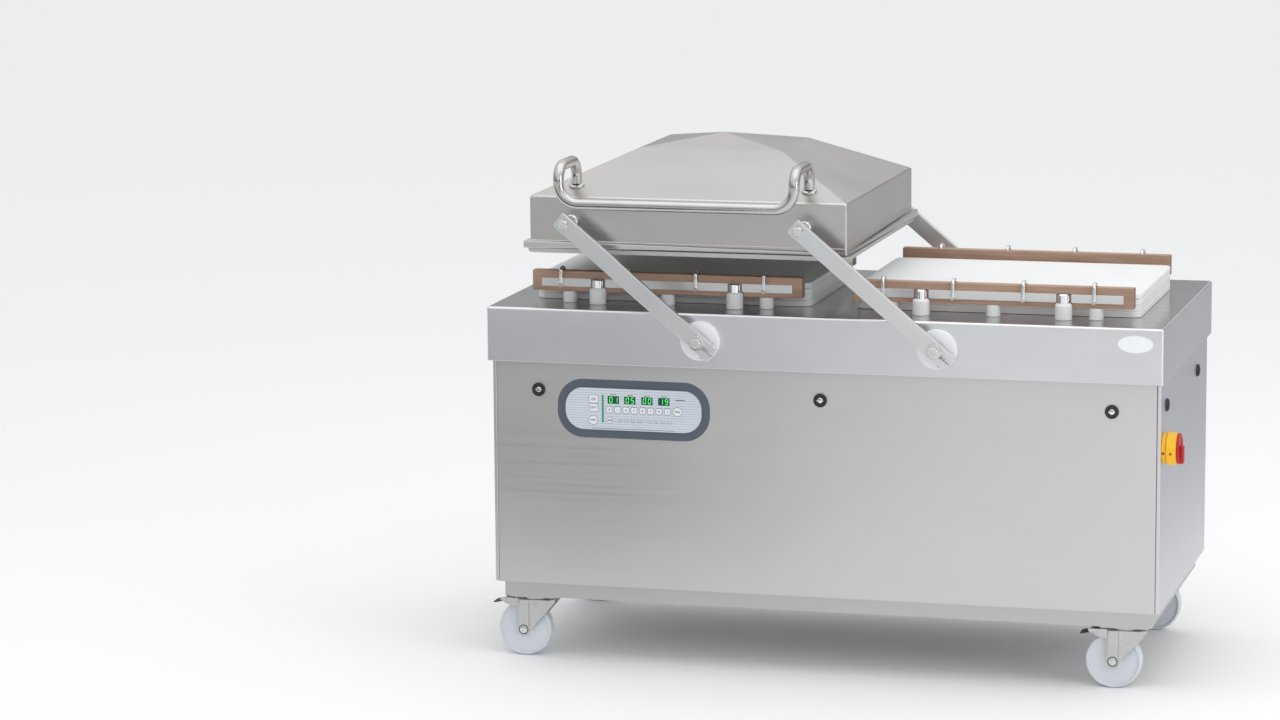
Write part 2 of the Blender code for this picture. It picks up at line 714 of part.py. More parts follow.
def facet_height(y):
    """Height of the front facet's outside at a distance y from the lid's middle."""
    return LID_WALL_TOP + (LID_DEPTH / 2 - y) * math.tan(facet_slope())


def lid_handle():
    """Bent tube that rises from the front facet, reaches forward and runs across."""
    foot = (PIVOT_X, -HANDLE_FOOT_Y, facet_height(HANDLE_FOOT_Y) - HANDLE_RADIUS / 2)
    top_back = (PIVOT_X, -HANDLE_FOOT_Y, HANDLE_TOP)
    top_front = (PIVOT_X, -HANDLE_BAR_Y, HANDLE_TOP)
    bar_end = (PIVOT_X, -HANDLE_BAR_Y, HANDLE_BAR_Z)
    middle = (0.0, -HANDLE_BAR_Y, HANDLE_BAR_Z)
    drop = HANDLE_TOP - HANDLE_BAR_Z
    lower_bend = min(HANDLE_BEND, drop * 0.55)
    upper_bend = min(HANDLE_BEND * 0.8, drop * 0.42)
    half = [foot]
    half += bend(foot, top_back, top_front, HANDLE_BEND * 0.9)
    half += bend(top_back, top_front, bar_end, upper_bend)
    half += bend(top_front, bar_end, middle, lower_bend)
    points = half + [(-x, y, z) for x, y, z in reversed(half)]
    handle = tube_along("lid_handle", points, HANDLE_RADIUS, lid, resolution=3)
    tilt = facet_slope()
    for side in (-1, 1):
        facet = pivot("handle_foot_frame", (side * PIVOT_X, -HANDLE_FOOT_Y,
                                            facet_height(HANDLE_FOOT_Y)), lid, (tilt, 0, 0))
        trim = 0.040
        cut(handle, block("foot_trim", (0.060, 0.060, trim),
                          (0, 0, GAP + (COLLAR_HEIGHT - trim) / 2), facet))
        join(handle, rod("handle_collar", COLLAR_RADIUS, COLLAR_HEIGHT,
                         (0, 0, GAP + COLLAR_HEIGHT / 2), facet))
    part(handle, STEEL)


def counter_bars():
    """Pressure bars in the lid, above the seal bars when the lid is shut."""
    low = POST_HEIGHT + BAR_HEIGHT + COUNTER_BAR_CLEAR - GASKET_HEIGHT
    middle = low + COUNTER_BAR_HEIGHT / 2
    wall = LID_DEPTH / 2 - LID_SHEET - GAP
    reach = wall - BAR_Y
    for name, facing in (("front_counter_bar", -1), ("rear_counter_bar", 1)):
        bar = block(name, (BAR_LENGTH, BAR_WIDTH, COUNTER_BAR_HEIGHT), (0, facing * BAR_Y, middle),
                    lid, round_edges=0.001)
        for x in (-POST_PITCH, POST_PITCH):
            join(bar, block("bar_bracket", (0.030, reach, 0.005),
                            (x, facing * (BAR_Y + reach / 2), low + COUNTER_BAR_HEIGHT * 0.7),
                            lid))
        part(bar, SILICONE)


# ================================================================ sealing stations
def lift_unit(name, station, facing):
    """Rail under the table with two lift cylinders and three support posts above it."""
    sheet_below = -TABLE_SHEET - GAP
    rail_y = facing * (LIFT_Y + BAR_Y) / 2
    unit = block(name, (2 * POST_PITCH + 0.050, RAIL_WIDTH, RAIL_HEIGHT),
                 (0, rail_y, sheet_below - RAIL_HEIGHT / 2), station)
    for x in (-LIFT_PITCH / 2, LIFT_PITCH / 2):
        y = facing * LIFT_Y
        join(unit,
             rod("lift_shank", LIFT_SHANK_RADIUS, 0.014, (x, y, -0.004), station, "Z", 16),
             rod("lift_cap", LIFT_CAP_RADIUS, LIFT_CAP_HEIGHT - GAP,
                 (x, y, (LIFT_CAP_HEIGHT + GAP) / 2), station, "Z", 20))
        cut(unit,
            rod("piston_bore", PISTON_RADIUS + RUNNING, LIFT_CAP_HEIGHT,
                (x, y, 0.008 + LIFT_CAP_HEIGHT / 2), station, "Z", 16),
            rod("rod_bore", ROD_RADIUS + RUNNING, 0.1, (x, y, 0), station, "Z", 8))
    for x in post_places():
        y = facing * BAR_Y
        join(unit,
             rod("post_stud", STUD_RADIUS, 0.014, (x, y, -0.004), station, "Z", 8),
             rod("support_post", POST_RADIUS, POST_HEIGHT - GAP,
                 (x, y, (POST_HEIGHT + GAP) / 2), station, "Z", 16))
    part(unit, WHITE_PLASTIC)


def lift_yoke(name, station, facing):
    """Two chrome pistons on rods, tied together under the table."""
    tie_z = -PIVOT_DROP - SHAFT_RADIUS - TIE_CLEARANCE - LIFT_TRAVEL - TIE_HEIGHT / 2
    y = facing * LIFT_Y
    yoke = block(name, (LIFT_PITCH + 0.040, 0.020, TIE_HEIGHT), (0, y, tie_z), station)
    for x in (-LIFT_PITCH / 2, LIFT_PITCH / 2):
        piston_low = 0.0085
        join(yoke,
             rod("lift_rod", ROD_RADIUS, piston_low - tie_z + 0.002,
                 (x, y, (piston_low + tie_z + 0.002) / 2), station, "Z", 8),
             rod("piston", PISTON_RADIUS, PISTON_TOP - piston_low,
                 (x, y, (PISTON_TOP + piston_low) / 2), station, "Z", 16))
    part(yoke, CHROME)


def seal_bar(name, station, facing):
    """Phenolic bar with a strip groove and with notches that sit on the pistons."""
    bar = block(name, (BAR_LENGTH, BAR_WIDTH, BAR_HEIGHT),
                (0, facing * BAR_Y, BAR_BOTTOM + BAR_HEIGHT / 2), station, round_edges=0.001)
    for x in (-LIFT_PITCH / 2, LIFT_PITCH / 2):
        for radius, top in ((LIFT_CAP_RADIUS + RUNNING, LIFT_CAP_HEIGHT + RUNNING),
                            (PISTON_RADIUS + GAP, PISTON_TOP + GAP)):
            cut(bar, rod("piston_notch", radius, top, (x, facing * LIFT_Y, top / 2), station,
                         "Z", 20))
    cut(bar, block("strip_groove", (BAR_LENGTH - 2 * STRIP_INSET, 2 * STRIP_DEPTH, STRIP_HEIGHT),
                   (0, facing * BAR_FRONT, BAR_BOTTOM + STRIP_LOW + STRIP_HEIGHT / 2), station))
    part(bar, PHENOLIC)


def insert_plates(side_name, station):
    """Loose filler plates that fill the station under the bag."""
    stack = PLATES_BELOW * PLATE_THICKNESS
    outline = rounded_rectangle(PLATE_LENGTH, PLATE_DEPTH, PLATE_CORNER)
    lower = flat_outline(f"{side_name}_lower_plates", outline, stack - GAP,
                         (0, 0, GAP + (stack - GAP) / 2), station)
    part(lower, WHITE_PLASTIC)
    upper = flat_outline(f"{side_name}_upper_plate", outline, PLATE_THICKNESS,
                         (0, 0, stack + GAP + PLATE_THICKNESS / 2), station)
    part(upper, WHITE_PLASTIC)


def stations():
    for side_name, station in (("left", left_station), ("right", right_station)):
        for depth_name, facing in (("front", -1), ("rear", 1)):
            stem = f"{depth_name}_{side_name}"
            lift_unit(stem + "_lift_unit", station, facing)
            lift_yoke(stem + "_lift_yoke", station, facing)
            seal_bar(stem + "_seal_bar", station, facing)
        insert_plates(side_name, station)


# ================================================================ controls
def control_panel():
    """Raised bezel round the keypad on the front panel."""
    face = -PANEL_FACE - GAP
    stand_up = (math.pi / 2, 0, 0)
    bezel = flat_outline("control_bezel",
                         rounded_rectangle(BEZEL_LENGTH, BEZEL_HEIGHT, BEZEL_HEIGHT * 0.45, 6),
                         BEZEL_DEPTH, (BEZEL_X, face - BEZEL_DEPTH / 2, BEZEL_Z), machine, stand_up)
    bevel(bezel, 0.002, segments=1, angle=60.0)
    inner = (BEZEL_LENGTH - 2 * BEZEL_RING, BEZEL_HEIGHT - 2 * BEZEL_RING)
    cut(bezel, flat_outline("bezel_opening", rounded_rectangle(*inner, inner[1] * 0.45, 6), 0.05,
                            (BEZEL_X, face, BEZEL_Z), machine, stand_up))
    part(bezel, SLATE_PLASTIC)

    length, height = (side - 2 * GAP for side in inner)
    keypad = flat_outline("keypad_panel", rounded_rectangle(length, height, height * 0.45, 6),
                          KEYPAD_THICKNESS, (BEZEL_X, face - KEYPAD_THICKNESS / 2, BEZEL_Z),
                          machine, stand_up)
    part(keypad, KEYPAD_FOIL)


def panel_locks():
    """Quarter-turn locks: a round head, a shank through the panel and a cam behind it."""
    names = ("left_panel_lock", "middle_panel_lock", "right_panel_lock")
    for name, x in zip(names, lock_places()):
        frame = pivot(name + "_axis", (x, -PANEL_FACE, LOCK_Z), machine, (math.pi / 2, 0, 0))
        head = 0.005
        profile = [(0.0, head - 0.001), (0.0045, head - 0.001), (0.0045, head - 0.003),
                   (LOCK_RADIUS * 0.6, head - 0.003), (LOCK_RADIUS * 0.72, head),
                   (LOCK_RADIUS - 0.001, head), (LOCK_RADIUS, head - 0.001), (LOCK_RADIUS, GAP),
                   (LOCK_SHANK, GAP), (LOCK_SHANK, -0.006), (0.0, -0.006)]
        lock = turned(name, profile, parent=frame, steps=16)
        join(lock, block("lock_cam", (0.014, LOCK_CAM, 0.003), (0, LOCK_CAM / 2 - 0.006, -0.0065),
                         frame))
        part(lock, BLACK_PLASTIC)


def main_switch():
    """Isolating switch on the right side, yellow body and red handle."""
    wall = CABINET_WIDTH / 2
    frame = pivot("switch_axis", (wall, SWITCH_Y, SWITCH_Z), machine, (0, math.pi / 2, 0))
    step = SWITCH_DEPTH * 0.35
    front = SWITCH_DEPTH
    profile = [(0.0, front), (SWITCH_RADIUS - 0.003, front), (SWITCH_RADIUS, front - 0.003),
               (SWITCH_RADIUS, step), (SWITCH_BASE_RADIUS, step), (SWITCH_BASE_RADIUS, GAP),
               (0.010, GAP), (0.010, -0.008), (0.0, -0.008)]
    part(turned("switch_body", profile, parent=frame, steps=32), YELLOW_PLASTIC)

    low = front + GAP
    disc = low + 0.006
    knob = turned("switch_knob", [(0.0, disc), (KNOB_RADIUS - 0.002, disc),
                                  (KNOB_RADIUS, disc - 0.002), (KNOB_RADIUS, low), (0.0, low)],
                  parent=frame, steps=32)
    grip = block("knob_grip", (KNOB_RADIUS * 1.15, 0.020, KNOB_REACH - low - 0.002),
                 (KNOB_RADIUS * 0.38, 0, (KNOB_REACH + low + 0.002) / 2), frame,
                 round_edges=0.003)
    join(knob, grip)
    part(knob, RED_PLASTIC)


# ================================================================ casters
def fork_cheek():
    """Outline of one fork cheek in the caster's XZ plane."""
    axle_x = -CASTER_TRAIL
    axle_z = -(CASTER_HEIGHT - WHEEL_RADIUS)
    top = fork_top()
    points = [(FORK_NOSE, top), (-FORK_TAIL, top), (-FORK_TAIL, top - FORK_FLAP * 0.3),
              (axle_x - AXLE_EYE * 2, top - FORK_FLAP), (axle_x - AXLE_EYE, top - FORK_FLAP)]
    for step in range(8):
        angle = math.radians(180.0 + 170.0 * step / 7)
        points.append((axle_x + AXLE_EYE * math.cos(angle), axle_z + AXLE_EYE * math.sin(angle)))
    points.append((FORK_NOSE, top - FORK_FLAP * 0.3))
    return points


def fork_top():
    return -CASTER_PLATE[2] - RACE_HEIGHT - 0.0008


def casters():
    axle_z = -(CASTER_HEIGHT - WHEEL_RADIUS)
    cheek_y = WHEEL_WIDTH / 2 + 0.004 + FORK_SHEET / 2
    names = ("front_left", "front_right", "rear_left", "rear_right")
    for stem, (x, y) in zip(names, caster_places()):
        swivel = pivot(stem + "_swivel_axis", (x, y, CASTER_HEIGHT), machine)
        axle = pivot(stem + "_axle", (-CASTER_TRAIL, 0, axle_z), swivel)
        width = 2 * cheek_y + FORK_SHEET
        fork = block(stem + "_caster_fork", (FORK_HEAD_LENGTH, width, FORK_SHEET),
                     (0, 0, fork_top() - FORK_SHEET / 2), swivel)
        for side in (-1, 1):
            join(fork, flat_outline("fork_cheek", fork_cheek(), FORK_SHEET,
                                    (0, side * cheek_y, 0), swivel, (math.pi / 2, 0, 0)))
        join(fork, rod("axle", AXLE_RADIUS, width + 0.010, (0, 0, 0), axle, "Y", 12))
        cut(fork, rod("king_hole", KING_PIN_RADIUS + RUNNING, 0.02, (0, 0, fork_top()), swivel,
                      "Z", 12))
        part(fork, STEEL)
        wheel(stem, axle, cheek_y - FORK_SHEET / 2 - HUB_SIDE_GAP)
        if y < 0:
            cut(fork, rod("pedal_hole", PEDAL_PIN + RUNNING, width * 1.2, pedal_axis(), swivel,
                          "Y", 8))
            brake_pedal(stem, swivel, cheek_y)


def wheel(stem, axle, hub_half):
    """Nylon wheel with a raised rim and a hub that fills the fork."""
    half = WHEEL_WIDTH / 2
    bore = AXLE_RADIUS + GAP
    rim = WHEEL_RADIUS
    profile = [(bore, hub_half), (0.015, hub_half), (0.016, half - 0.004),
               (rim - 0.009, half - 0.004), (rim - 0.005, half), (rim, half - 0.003),
               (rim, 0.003 - half), (rim - 0.005, -half), (rim - 0.009, 0.004 - half),
               (0.016, 0.004 - half), (0.015, -hub_half), (bore, -hub_half)]
    item = turned(stem + "_caster_wheel", profile, parent=axle, rotation=(math.pi / 2, 0, 0),
                  steps=28)
    part(item, NYLON)


def pedal_axis():
    return (-PEDAL_HINGE, 0, fork_top() - 0.0045)


def brake_pedal(stem, swivel, cheek_y):
    """Foot lever that clamps the wheel and the swivel of a front caster."""
    width = 2 * cheek_y - FORK_SHEET - 2 * RUNNING
    hinge = pivot(stem + "_brake_axis", pedal_axis(), swivel, (0, -PEDAL_SLOPE, 0))
    reach = (PEDAL_TIP - PEDAL_HINGE) / math.cos(PEDAL_SLOPE)
    pedal = block(stem + "_brake_pedal", (reach, width, 0.003), (-reach / 2, 0, 0), hinge,
                  round_edges=0.001)
    join(pedal,
         rod("pedal_roll", 0.0035, width, (0, 0, 0), hinge, "Y", 12),
         rod("pedal_pin", PEDAL_PIN, 2 * cheek_y + FORK_SHEET, (0, 0, 0), hinge, "Y", 8))
    part(pedal, STEEL)


# ================================================================ inside the cabinet
def machinery():
    pump_z = PAN_FLOOR + PUMP_SIZE[2] / 2
    pump = block("vacuum_pump", PUMP_SIZE, (PUMP_X, PUMP_Y, pump_z), machine, round_edges=0.010)
    motor_x = PUMP_X - (PUMP_SIZE[0] + MOTOR_LENGTH) / 2
    join(pump,
         rod("pump_motor", MOTOR_RADIUS, MOTOR_LENGTH + 0.010, (motor_x, PUMP_Y, pump_z), machine,
             "X", 28),
         rod("oil_filter", FILTER_RADIUS, PUMP_SIZE[0] * 0.9,
             (PUMP_X, PUMP_Y, PAN_FLOOR + PUMP_SIZE[2]), machine, "X", 24))
    part(pump, PUMP_PAINT)

    transformer = block("sealing_transformer", TRANSFORMER_SIZE,
                        (TRANSFORMER_X, TRANSFORMER_Y, PAN_FLOOR + TRANSFORMER_SIZE[2] / 2),
                        machine, round_edges=0.003)
    join(transformer, block("winding", (TRANSFORMER_SIZE[0] * 0.55, TRANSFORMER_SIZE[1] * 1.35,
                                        TRANSFORMER_SIZE[2] * 0.65),
                            (TRANSFORMER_X, TRANSFORMER_Y, PAN_FLOOR + TRANSFORMER_SIZE[2] / 2),
                            machine, round_edges=0.006))
    part(transformer, GREY_PAINT)

    length, depth, height = CONTROL_BOX_SIZE
    face = -PLINTH_DEPTH / 2 + PAN_SHEET + GAP + FRAME_SHEET + GAP
    box = block("control_box", CONTROL_BOX_SIZE, (BEZEL_X, face + depth / 2, BEZEL_Z), machine,
                round_edges=0.003)
    part(box, GREY_PAINT)


# ================================================================ build
clear_scene()
parts = new_collection("vacuum_chamber_sealer")
cutters = new_collection("cutters")

machine = pivot("machine", (-ORIGIN_X, -ORIGIN_Y, 0))
left_station = pivot("left_station", (-STATION_X, 0, TABLE_HEIGHT), machine)
right_station = pivot("right_station", (STATION_X, 0, TABLE_HEIGHT), machine)
left_swing = pivot("left_swing_axis", (-PIVOT_X, 0, PIVOT_Z), machine, (0, -REST_LEAN, 0))
right_swing = pivot("right_swing_axis", (PIVOT_X, 0, PIVOT_Z), machine, (0, -REST_LEAN, 0))
lid = pivot("lid_frame", (LID_X, 0, LID_Z), machine)

base_frame()
cabinet_frame()
front_and_rear_panels()
side_panels()
table_top()
pivot_discs()
swing_arms()
cross_shafts()
balance_springs()
lid_hood()
lid_gasket()
lid_handle()
counter_bars()
stations()
control_panel()
panel_locks()
main_switch()
casters()
machinery()
bpy.context.view_layer.update()
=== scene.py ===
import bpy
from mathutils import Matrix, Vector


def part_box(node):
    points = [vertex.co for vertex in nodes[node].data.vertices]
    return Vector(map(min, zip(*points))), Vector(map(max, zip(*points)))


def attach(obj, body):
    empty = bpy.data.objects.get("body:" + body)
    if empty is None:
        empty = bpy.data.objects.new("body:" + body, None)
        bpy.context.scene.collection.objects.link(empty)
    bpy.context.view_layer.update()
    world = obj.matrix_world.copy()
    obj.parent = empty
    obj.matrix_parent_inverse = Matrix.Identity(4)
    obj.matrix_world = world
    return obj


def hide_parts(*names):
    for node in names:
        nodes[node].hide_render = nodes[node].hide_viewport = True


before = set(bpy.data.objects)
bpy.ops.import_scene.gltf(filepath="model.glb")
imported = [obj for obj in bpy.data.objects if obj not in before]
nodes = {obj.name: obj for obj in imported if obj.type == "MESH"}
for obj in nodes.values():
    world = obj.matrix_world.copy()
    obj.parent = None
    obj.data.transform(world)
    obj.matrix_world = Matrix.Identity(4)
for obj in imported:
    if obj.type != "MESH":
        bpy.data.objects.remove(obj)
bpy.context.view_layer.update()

import math

import bmesh
import bpy
from mathutils import Matrix, Vector

# ------------------------------------------------------------------ viewpoint and studio
# A pale studio floor under one large overhead softbox and two side boxes. The camera
# stands well back at the machine's front right, about table height plus a head.
table_low, table_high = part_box("table_top")
middle_x = (table_low.x + table_high.x) / 2
middle_y = (table_low.y + table_high.y) / 2
table_z = table_high.z



def stand(name, data):
    """A new object in the scene, at the origin."""
    thing = bpy.data.objects.new(name, data)
    bpy.context.scene.collection.objects.link(thing)
    return thing


camera_data = bpy.data.cameras.new("viewpoint")
camera_data.lens = 121.3
camera_data.sensor_width = 36.0
camera_data.clip_end = 200.0
camera = stand("viewpoint", camera_data)
camera_turn, camera_dip, camera_roll = 0.2701, 0.1642, -0.0078
camera_right, camera_back, camera_height = 2.139, 9.582, 2.293
camera.location = (middle_x + camera_right, middle_y - camera_back, camera_height)
camera.rotation_euler = (Matrix.Rotation(camera_turn, 3, "Z")
                         @ Matrix.Rotation(math.pi / 2 - camera_dip, 3, "X")
                         @ Matrix.Rotation(camera_roll, 3, "Z")).to_euler()
bpy.context.scene.camera = camera


def matt_sheet(name, low, high, level, colour):
    """A level sheet of the studio, which isn't part of the machine."""
    sheet_mesh = bpy.data.meshes.new(name)
    sheet_mesh.from_pydata([(low[0], low[1], level), (high[0], low[1], level),
                            (high[0], high[1], level), (low[0], high[1], level)], [],
                           [(0, 1, 2, 3)])
    surface = bpy.data.materials.new(name)
    surface.use_nodes = True
    shader = surface.node_tree.nodes["Principled BSDF"]
    shader.inputs["Base Color"].default_value = (*colour, 1.0)
    shader.inputs["Roughness"].default_value = 0.9
    sheet_mesh.materials.append(surface)
    sheet = stand(name, sheet_mesh)
    return sheet


matt_sheet("studio_floor", (-60, -30), (60, 90), 0.0, (0.94, 0.945, 0.945))
# Two grey cards on the floor show only in the sheets' reflections, and shade them.
for name, low, high, tone in (("left_card", (-7.0, -3.8), (-0.55, -1.25), 0.07),
                              ("right_card", (1.26, 0.35), (6.0, 14.0), 0.42)):
    card = matt_sheet(name, low, high, 0.004, (tone, tone, tone * 1.03))
    card.visible_camera = card.visible_diffuse = card.visible_shadow = False

for name, place, aim, size, power in (
        ("overhead_softbox", (0.3, -0.5, 4.2), (0, 0, 0.5), (5.0, 4.0), 40),
        ("right_softbox", (5.5, -3.0, 2.0), (0.3, 0, 0.6), (3.0, 2.6), 60),
        ("front_softbox", (1.5, -7.5, 3.2), (0.2, 0, 0.6), (3.5, 2.5), 25)):
    light = bpy.data.lights.new(name, "AREA")
    light.shape = "RECTANGLE"
    light.size, light.size_y = size
    light.energy = power
    lamp = stand(name, light)
    lamp.location = place
    lamp.rotation_euler = (Vector(aim) - Vector(place)).to_track_quat("-Z", "Y").to_euler()

# The studio is dark round the horizon and bright overhead.
studio = bpy.data.worlds.new("soft_studio")
studio.use_nodes = True
studio_nodes = studio.node_tree.nodes
studio_links = studio.node_tree.links
direction = studio_nodes.new("ShaderNodeTexCoord")
height = studio_nodes.new("ShaderNodeSeparateXYZ")
sky = studio_nodes.new("ShaderNodeValToRGB")
studio_links.new(direction.outputs["Generated"], height.inputs["Vector"])
studio_links.new(height.outputs["Z"], sky.inputs["Fac"])
studio_links.new(sky.outputs["Color"], studio_nodes["Background"].inputs["Color"])
sky.color_ramp.elements[0].position = 0.04
sky.color_ramp.elements[0].color = (0.2, 0.205, 0.215, 1.0)
sky.color_ramp.elements[1].position = 0.5
sky.color_ramp.elements[1].color = (0.985, 0.995, 1.0, 1.0)
studio_nodes["Background"].inputs["Strength"].default_value = 0.98
bpy.context.scene.world = studio
bpy.context.scene.view_settings.view_transform = "Standard"

# ------------------------------------------------------------------ stainless sheet work
# Folded 2 to 3 mm stainless sheet: base pan, inner frame, side, front and rear covers.
# The sheet has a fine long grain from its brushing, and slight unevenness between passes.


class Value:
    """A shader socket that can be used in arithmetic."""

    def __init__(self, tree, socket):
        self.tree = tree
        self.socket = socket

    def _math(self, operation, *others):
        node = self.tree.nodes.new("ShaderNodeMath")
        node.operation = operation
        for place, item in enumerate(others):
            if isinstance(item, Value):
                self.tree.links.new(item.socket, node.inputs[place])
            else:
                node.inputs[place].default_value = item
        return Value(self.tree, node.outputs[0])

    def __add__(self, other):
        return self._math("ADD", self, other)

    def __radd__(self, other):
        return self._math("ADD", other, self)

    def __sub__(self, other):
        return self._math("SUBTRACT", self, other)

    def __rsub__(self, other):
        return self._math("SUBTRACT", other, self)

    def __mul__(self, other):
        return self._math("MULTIPLY", self, other)

    def __rmul__(self, other):
        return self._math("MULTIPLY", other, self)

    def over(self, level):
        return self._math("GREATER_THAN", self, level)

    def limited(self):
        return self._math("MINIMUM", self._math("MAXIMUM", self, 0.0), 1.0)


class Finish:
    """A material being put together: one Principled shader and the nodes that feed it."""

    def __init__(self, name, colour, roughness, metallic=0.0, coat=0.0, specular=0.5,
                 see_through=0.0):
        self.material = bpy.data.materials.new(name)
        self.material.use_nodes = True
        self.tree = self.material.node_tree
        self.shader = self.tree.nodes["Principled BSDF"]
        for socket, setting in {
                "Base Color": (*colour, 1.0), "Roughness": roughness, "Metallic": metallic,
                "Coat Weight": coat, "Specular IOR Level": specular,
                "Subsurface Weight": see_through}.items():
            self.shader.inputs[socket].default_value = setting
        if see_through:
            self.shader.inputs["Subsurface Radius"].default_value = (0.01, 0.01, 0.009)
            self.shader.inputs["Subsurface Scale"].default_value = 0.5

    def node(self, kind, settings=(), output=0, **sockets):
        """Adds a node: its settings first, then the values or links of its sockets."""
        item = self.tree.nodes.new(kind)
        for key, setting in dict(settings).items():
            if key == "stops":
                ramp = item.color_ramp
                while len(ramp.elements) < len(setting):
                    ramp.elements.new(0.5)
                for element, (position, tone) in zip(ramp.elements, setting):
                    element.position = position
                    element.color = (*tone, 1.0)
            else:
                setattr(item, key, setting)
        for key, value in sockets.items():
            socket = item.inputs[int(key[1:])] if key[1:].isdigit() else item.inputs[
                key.replace("_", " ")]
            if isinstance(value, Value):
                self.tree.links.new(value.socket, socket)
            else:
                socket.default_value = value
        return Value(self.tree, item.outputs[output])

    def place(self, stretch=(1.0, 1.0, 1.0), turn=(0.0, 0.0, 0.0)):
        """The piece's own coordinates in metres, stretched and turned."""
        here = self.node("ShaderNodeTexCoord", output=3)
        if any(turn):
            here = self.node("ShaderNodeMapping", Vector=here, Rotation=turn)
        return self.node("ShaderNodeMapping", Vector=here, Scale=stretch)

    def noise(self, scale, stretch=(1.0, 1.0, 1.0), detail=4.0, turn=(0.0, 0.0, 0.0)):
        return self.node("ShaderNodeTexNoise", Vector=self.place(stretch, turn), Scale=scale,
                         Detail=detail)

    def feed(self, socket, value):
        self.tree.links.new(value.socket, self.shader.inputs[socket])

    def tint(self, amount, dark, light):
        """Base colour between two tones, by a value from 0 to 1."""
        colour = self.node("ShaderNodeMix", {"data_type": "RGBA"}, output=2, _0=amount,
                           _6=(*dark, 1.0), _7=(*light, 1.0))
        self.feed("Base Color", colour)

    def relief(self, height, strength, distance):
        bump = self.node("ShaderNodeBump", Height=height, Strength=strength, Distance=distance)
        self.feed("Normal", bump)


def brushed(name, tone, roughness, grain=(2.0, 260.0, 260.0), cloud=0.04,
            tint=(1.0, 1.0, 1.0), wave=0.0):
    """Stainless steel brushed along its first axis, with faint clouds and a slight wave."""
    finish = Finish(name, (tone, tone, tone), roughness, 1.0)
    lines = finish.noise(1.0, grain, 3.0)
    broad = finish.noise(2.3, (1.0, 1.0, 1.4), 2.0)
    shade = ((lines - 0.5) * 0.35 + (broad - 0.5) * 0.9 + 0.5).limited()
    finish.tint(shade, tuple((tone - cloud) * part for part in tint),
                tuple((tone + cloud) * part for part in tint))
    finish.feed("Roughness", (lines - 0.5) * 0.16 + (broad - 0.5) * 0.1 + roughness)
    finish.relief(lines * 0.00002 + broad * wave, 1.0, 1.0)
    return finish.material


cover_steel = brushed("brushed_cover_steel", 0.69, 0.4, tint=(1.0, 0.975, 0.975),
                      wave=0.002)
side_steel = brushed("brushed_side_steel", 0.72, 0.38, (260.0, 2.0, 260.0),
                     tint=(0.97, 0.97, 1.02), wave=0.001)
plinth_steel = brushed("brushed_plinth_steel", 0.57, 0.42)
bright_steel = brushed("bright_bar_steel", 0.72, 0.24, (3.0, 90.0, 3.0), 0.03)


def finish_node(name, material):
    """Gives a CAD node its finish in place of its plain colour."""
    node = nodes[name]
    node.data.materials.clear()
    node.data.materials.append(material)


for name in ("front_panel", "rear_panel"):
    finish_node(name, cover_steel)
finish_node("left_side_panel", cover_steel)
finish_node("right_side_panel", side_steel)
for name in ("base_frame", "cabinet_frame"):
    finish_node(name, plinth_steel)


def new_piece(name, mesh, material, body, slot, instead=False):
    """A finished piece, which rides on a body and may stand instead of its CAD node."""
    piece = stand(name, mesh)
    piece.data.materials.clear()
    piece.data.materials.append(material)
    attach(piece, body)
    if instead:
        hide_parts(slot)
    return piece


def smooth(mesh, angle=40.0):
    """Smooth shading, broken at corners and where a narrow edge meets a broad flat face."""
    form = bmesh.new()
    form.from_mesh(mesh)
    for face in form.faces:
        face.smooth = True
    for edge in form.edges:
        turn = math.degrees(edge.calc_face_angle(math.pi))
        areas = sorted(face.calc_area() for face in edge.link_faces) or [0.0]
        broad = turn > 3.0 and areas[-1] > 12.0 * areas[0]
        edge.smooth = turn < angle and not broad
    form.to_mesh(mesh)
    form.free()
    return mesh


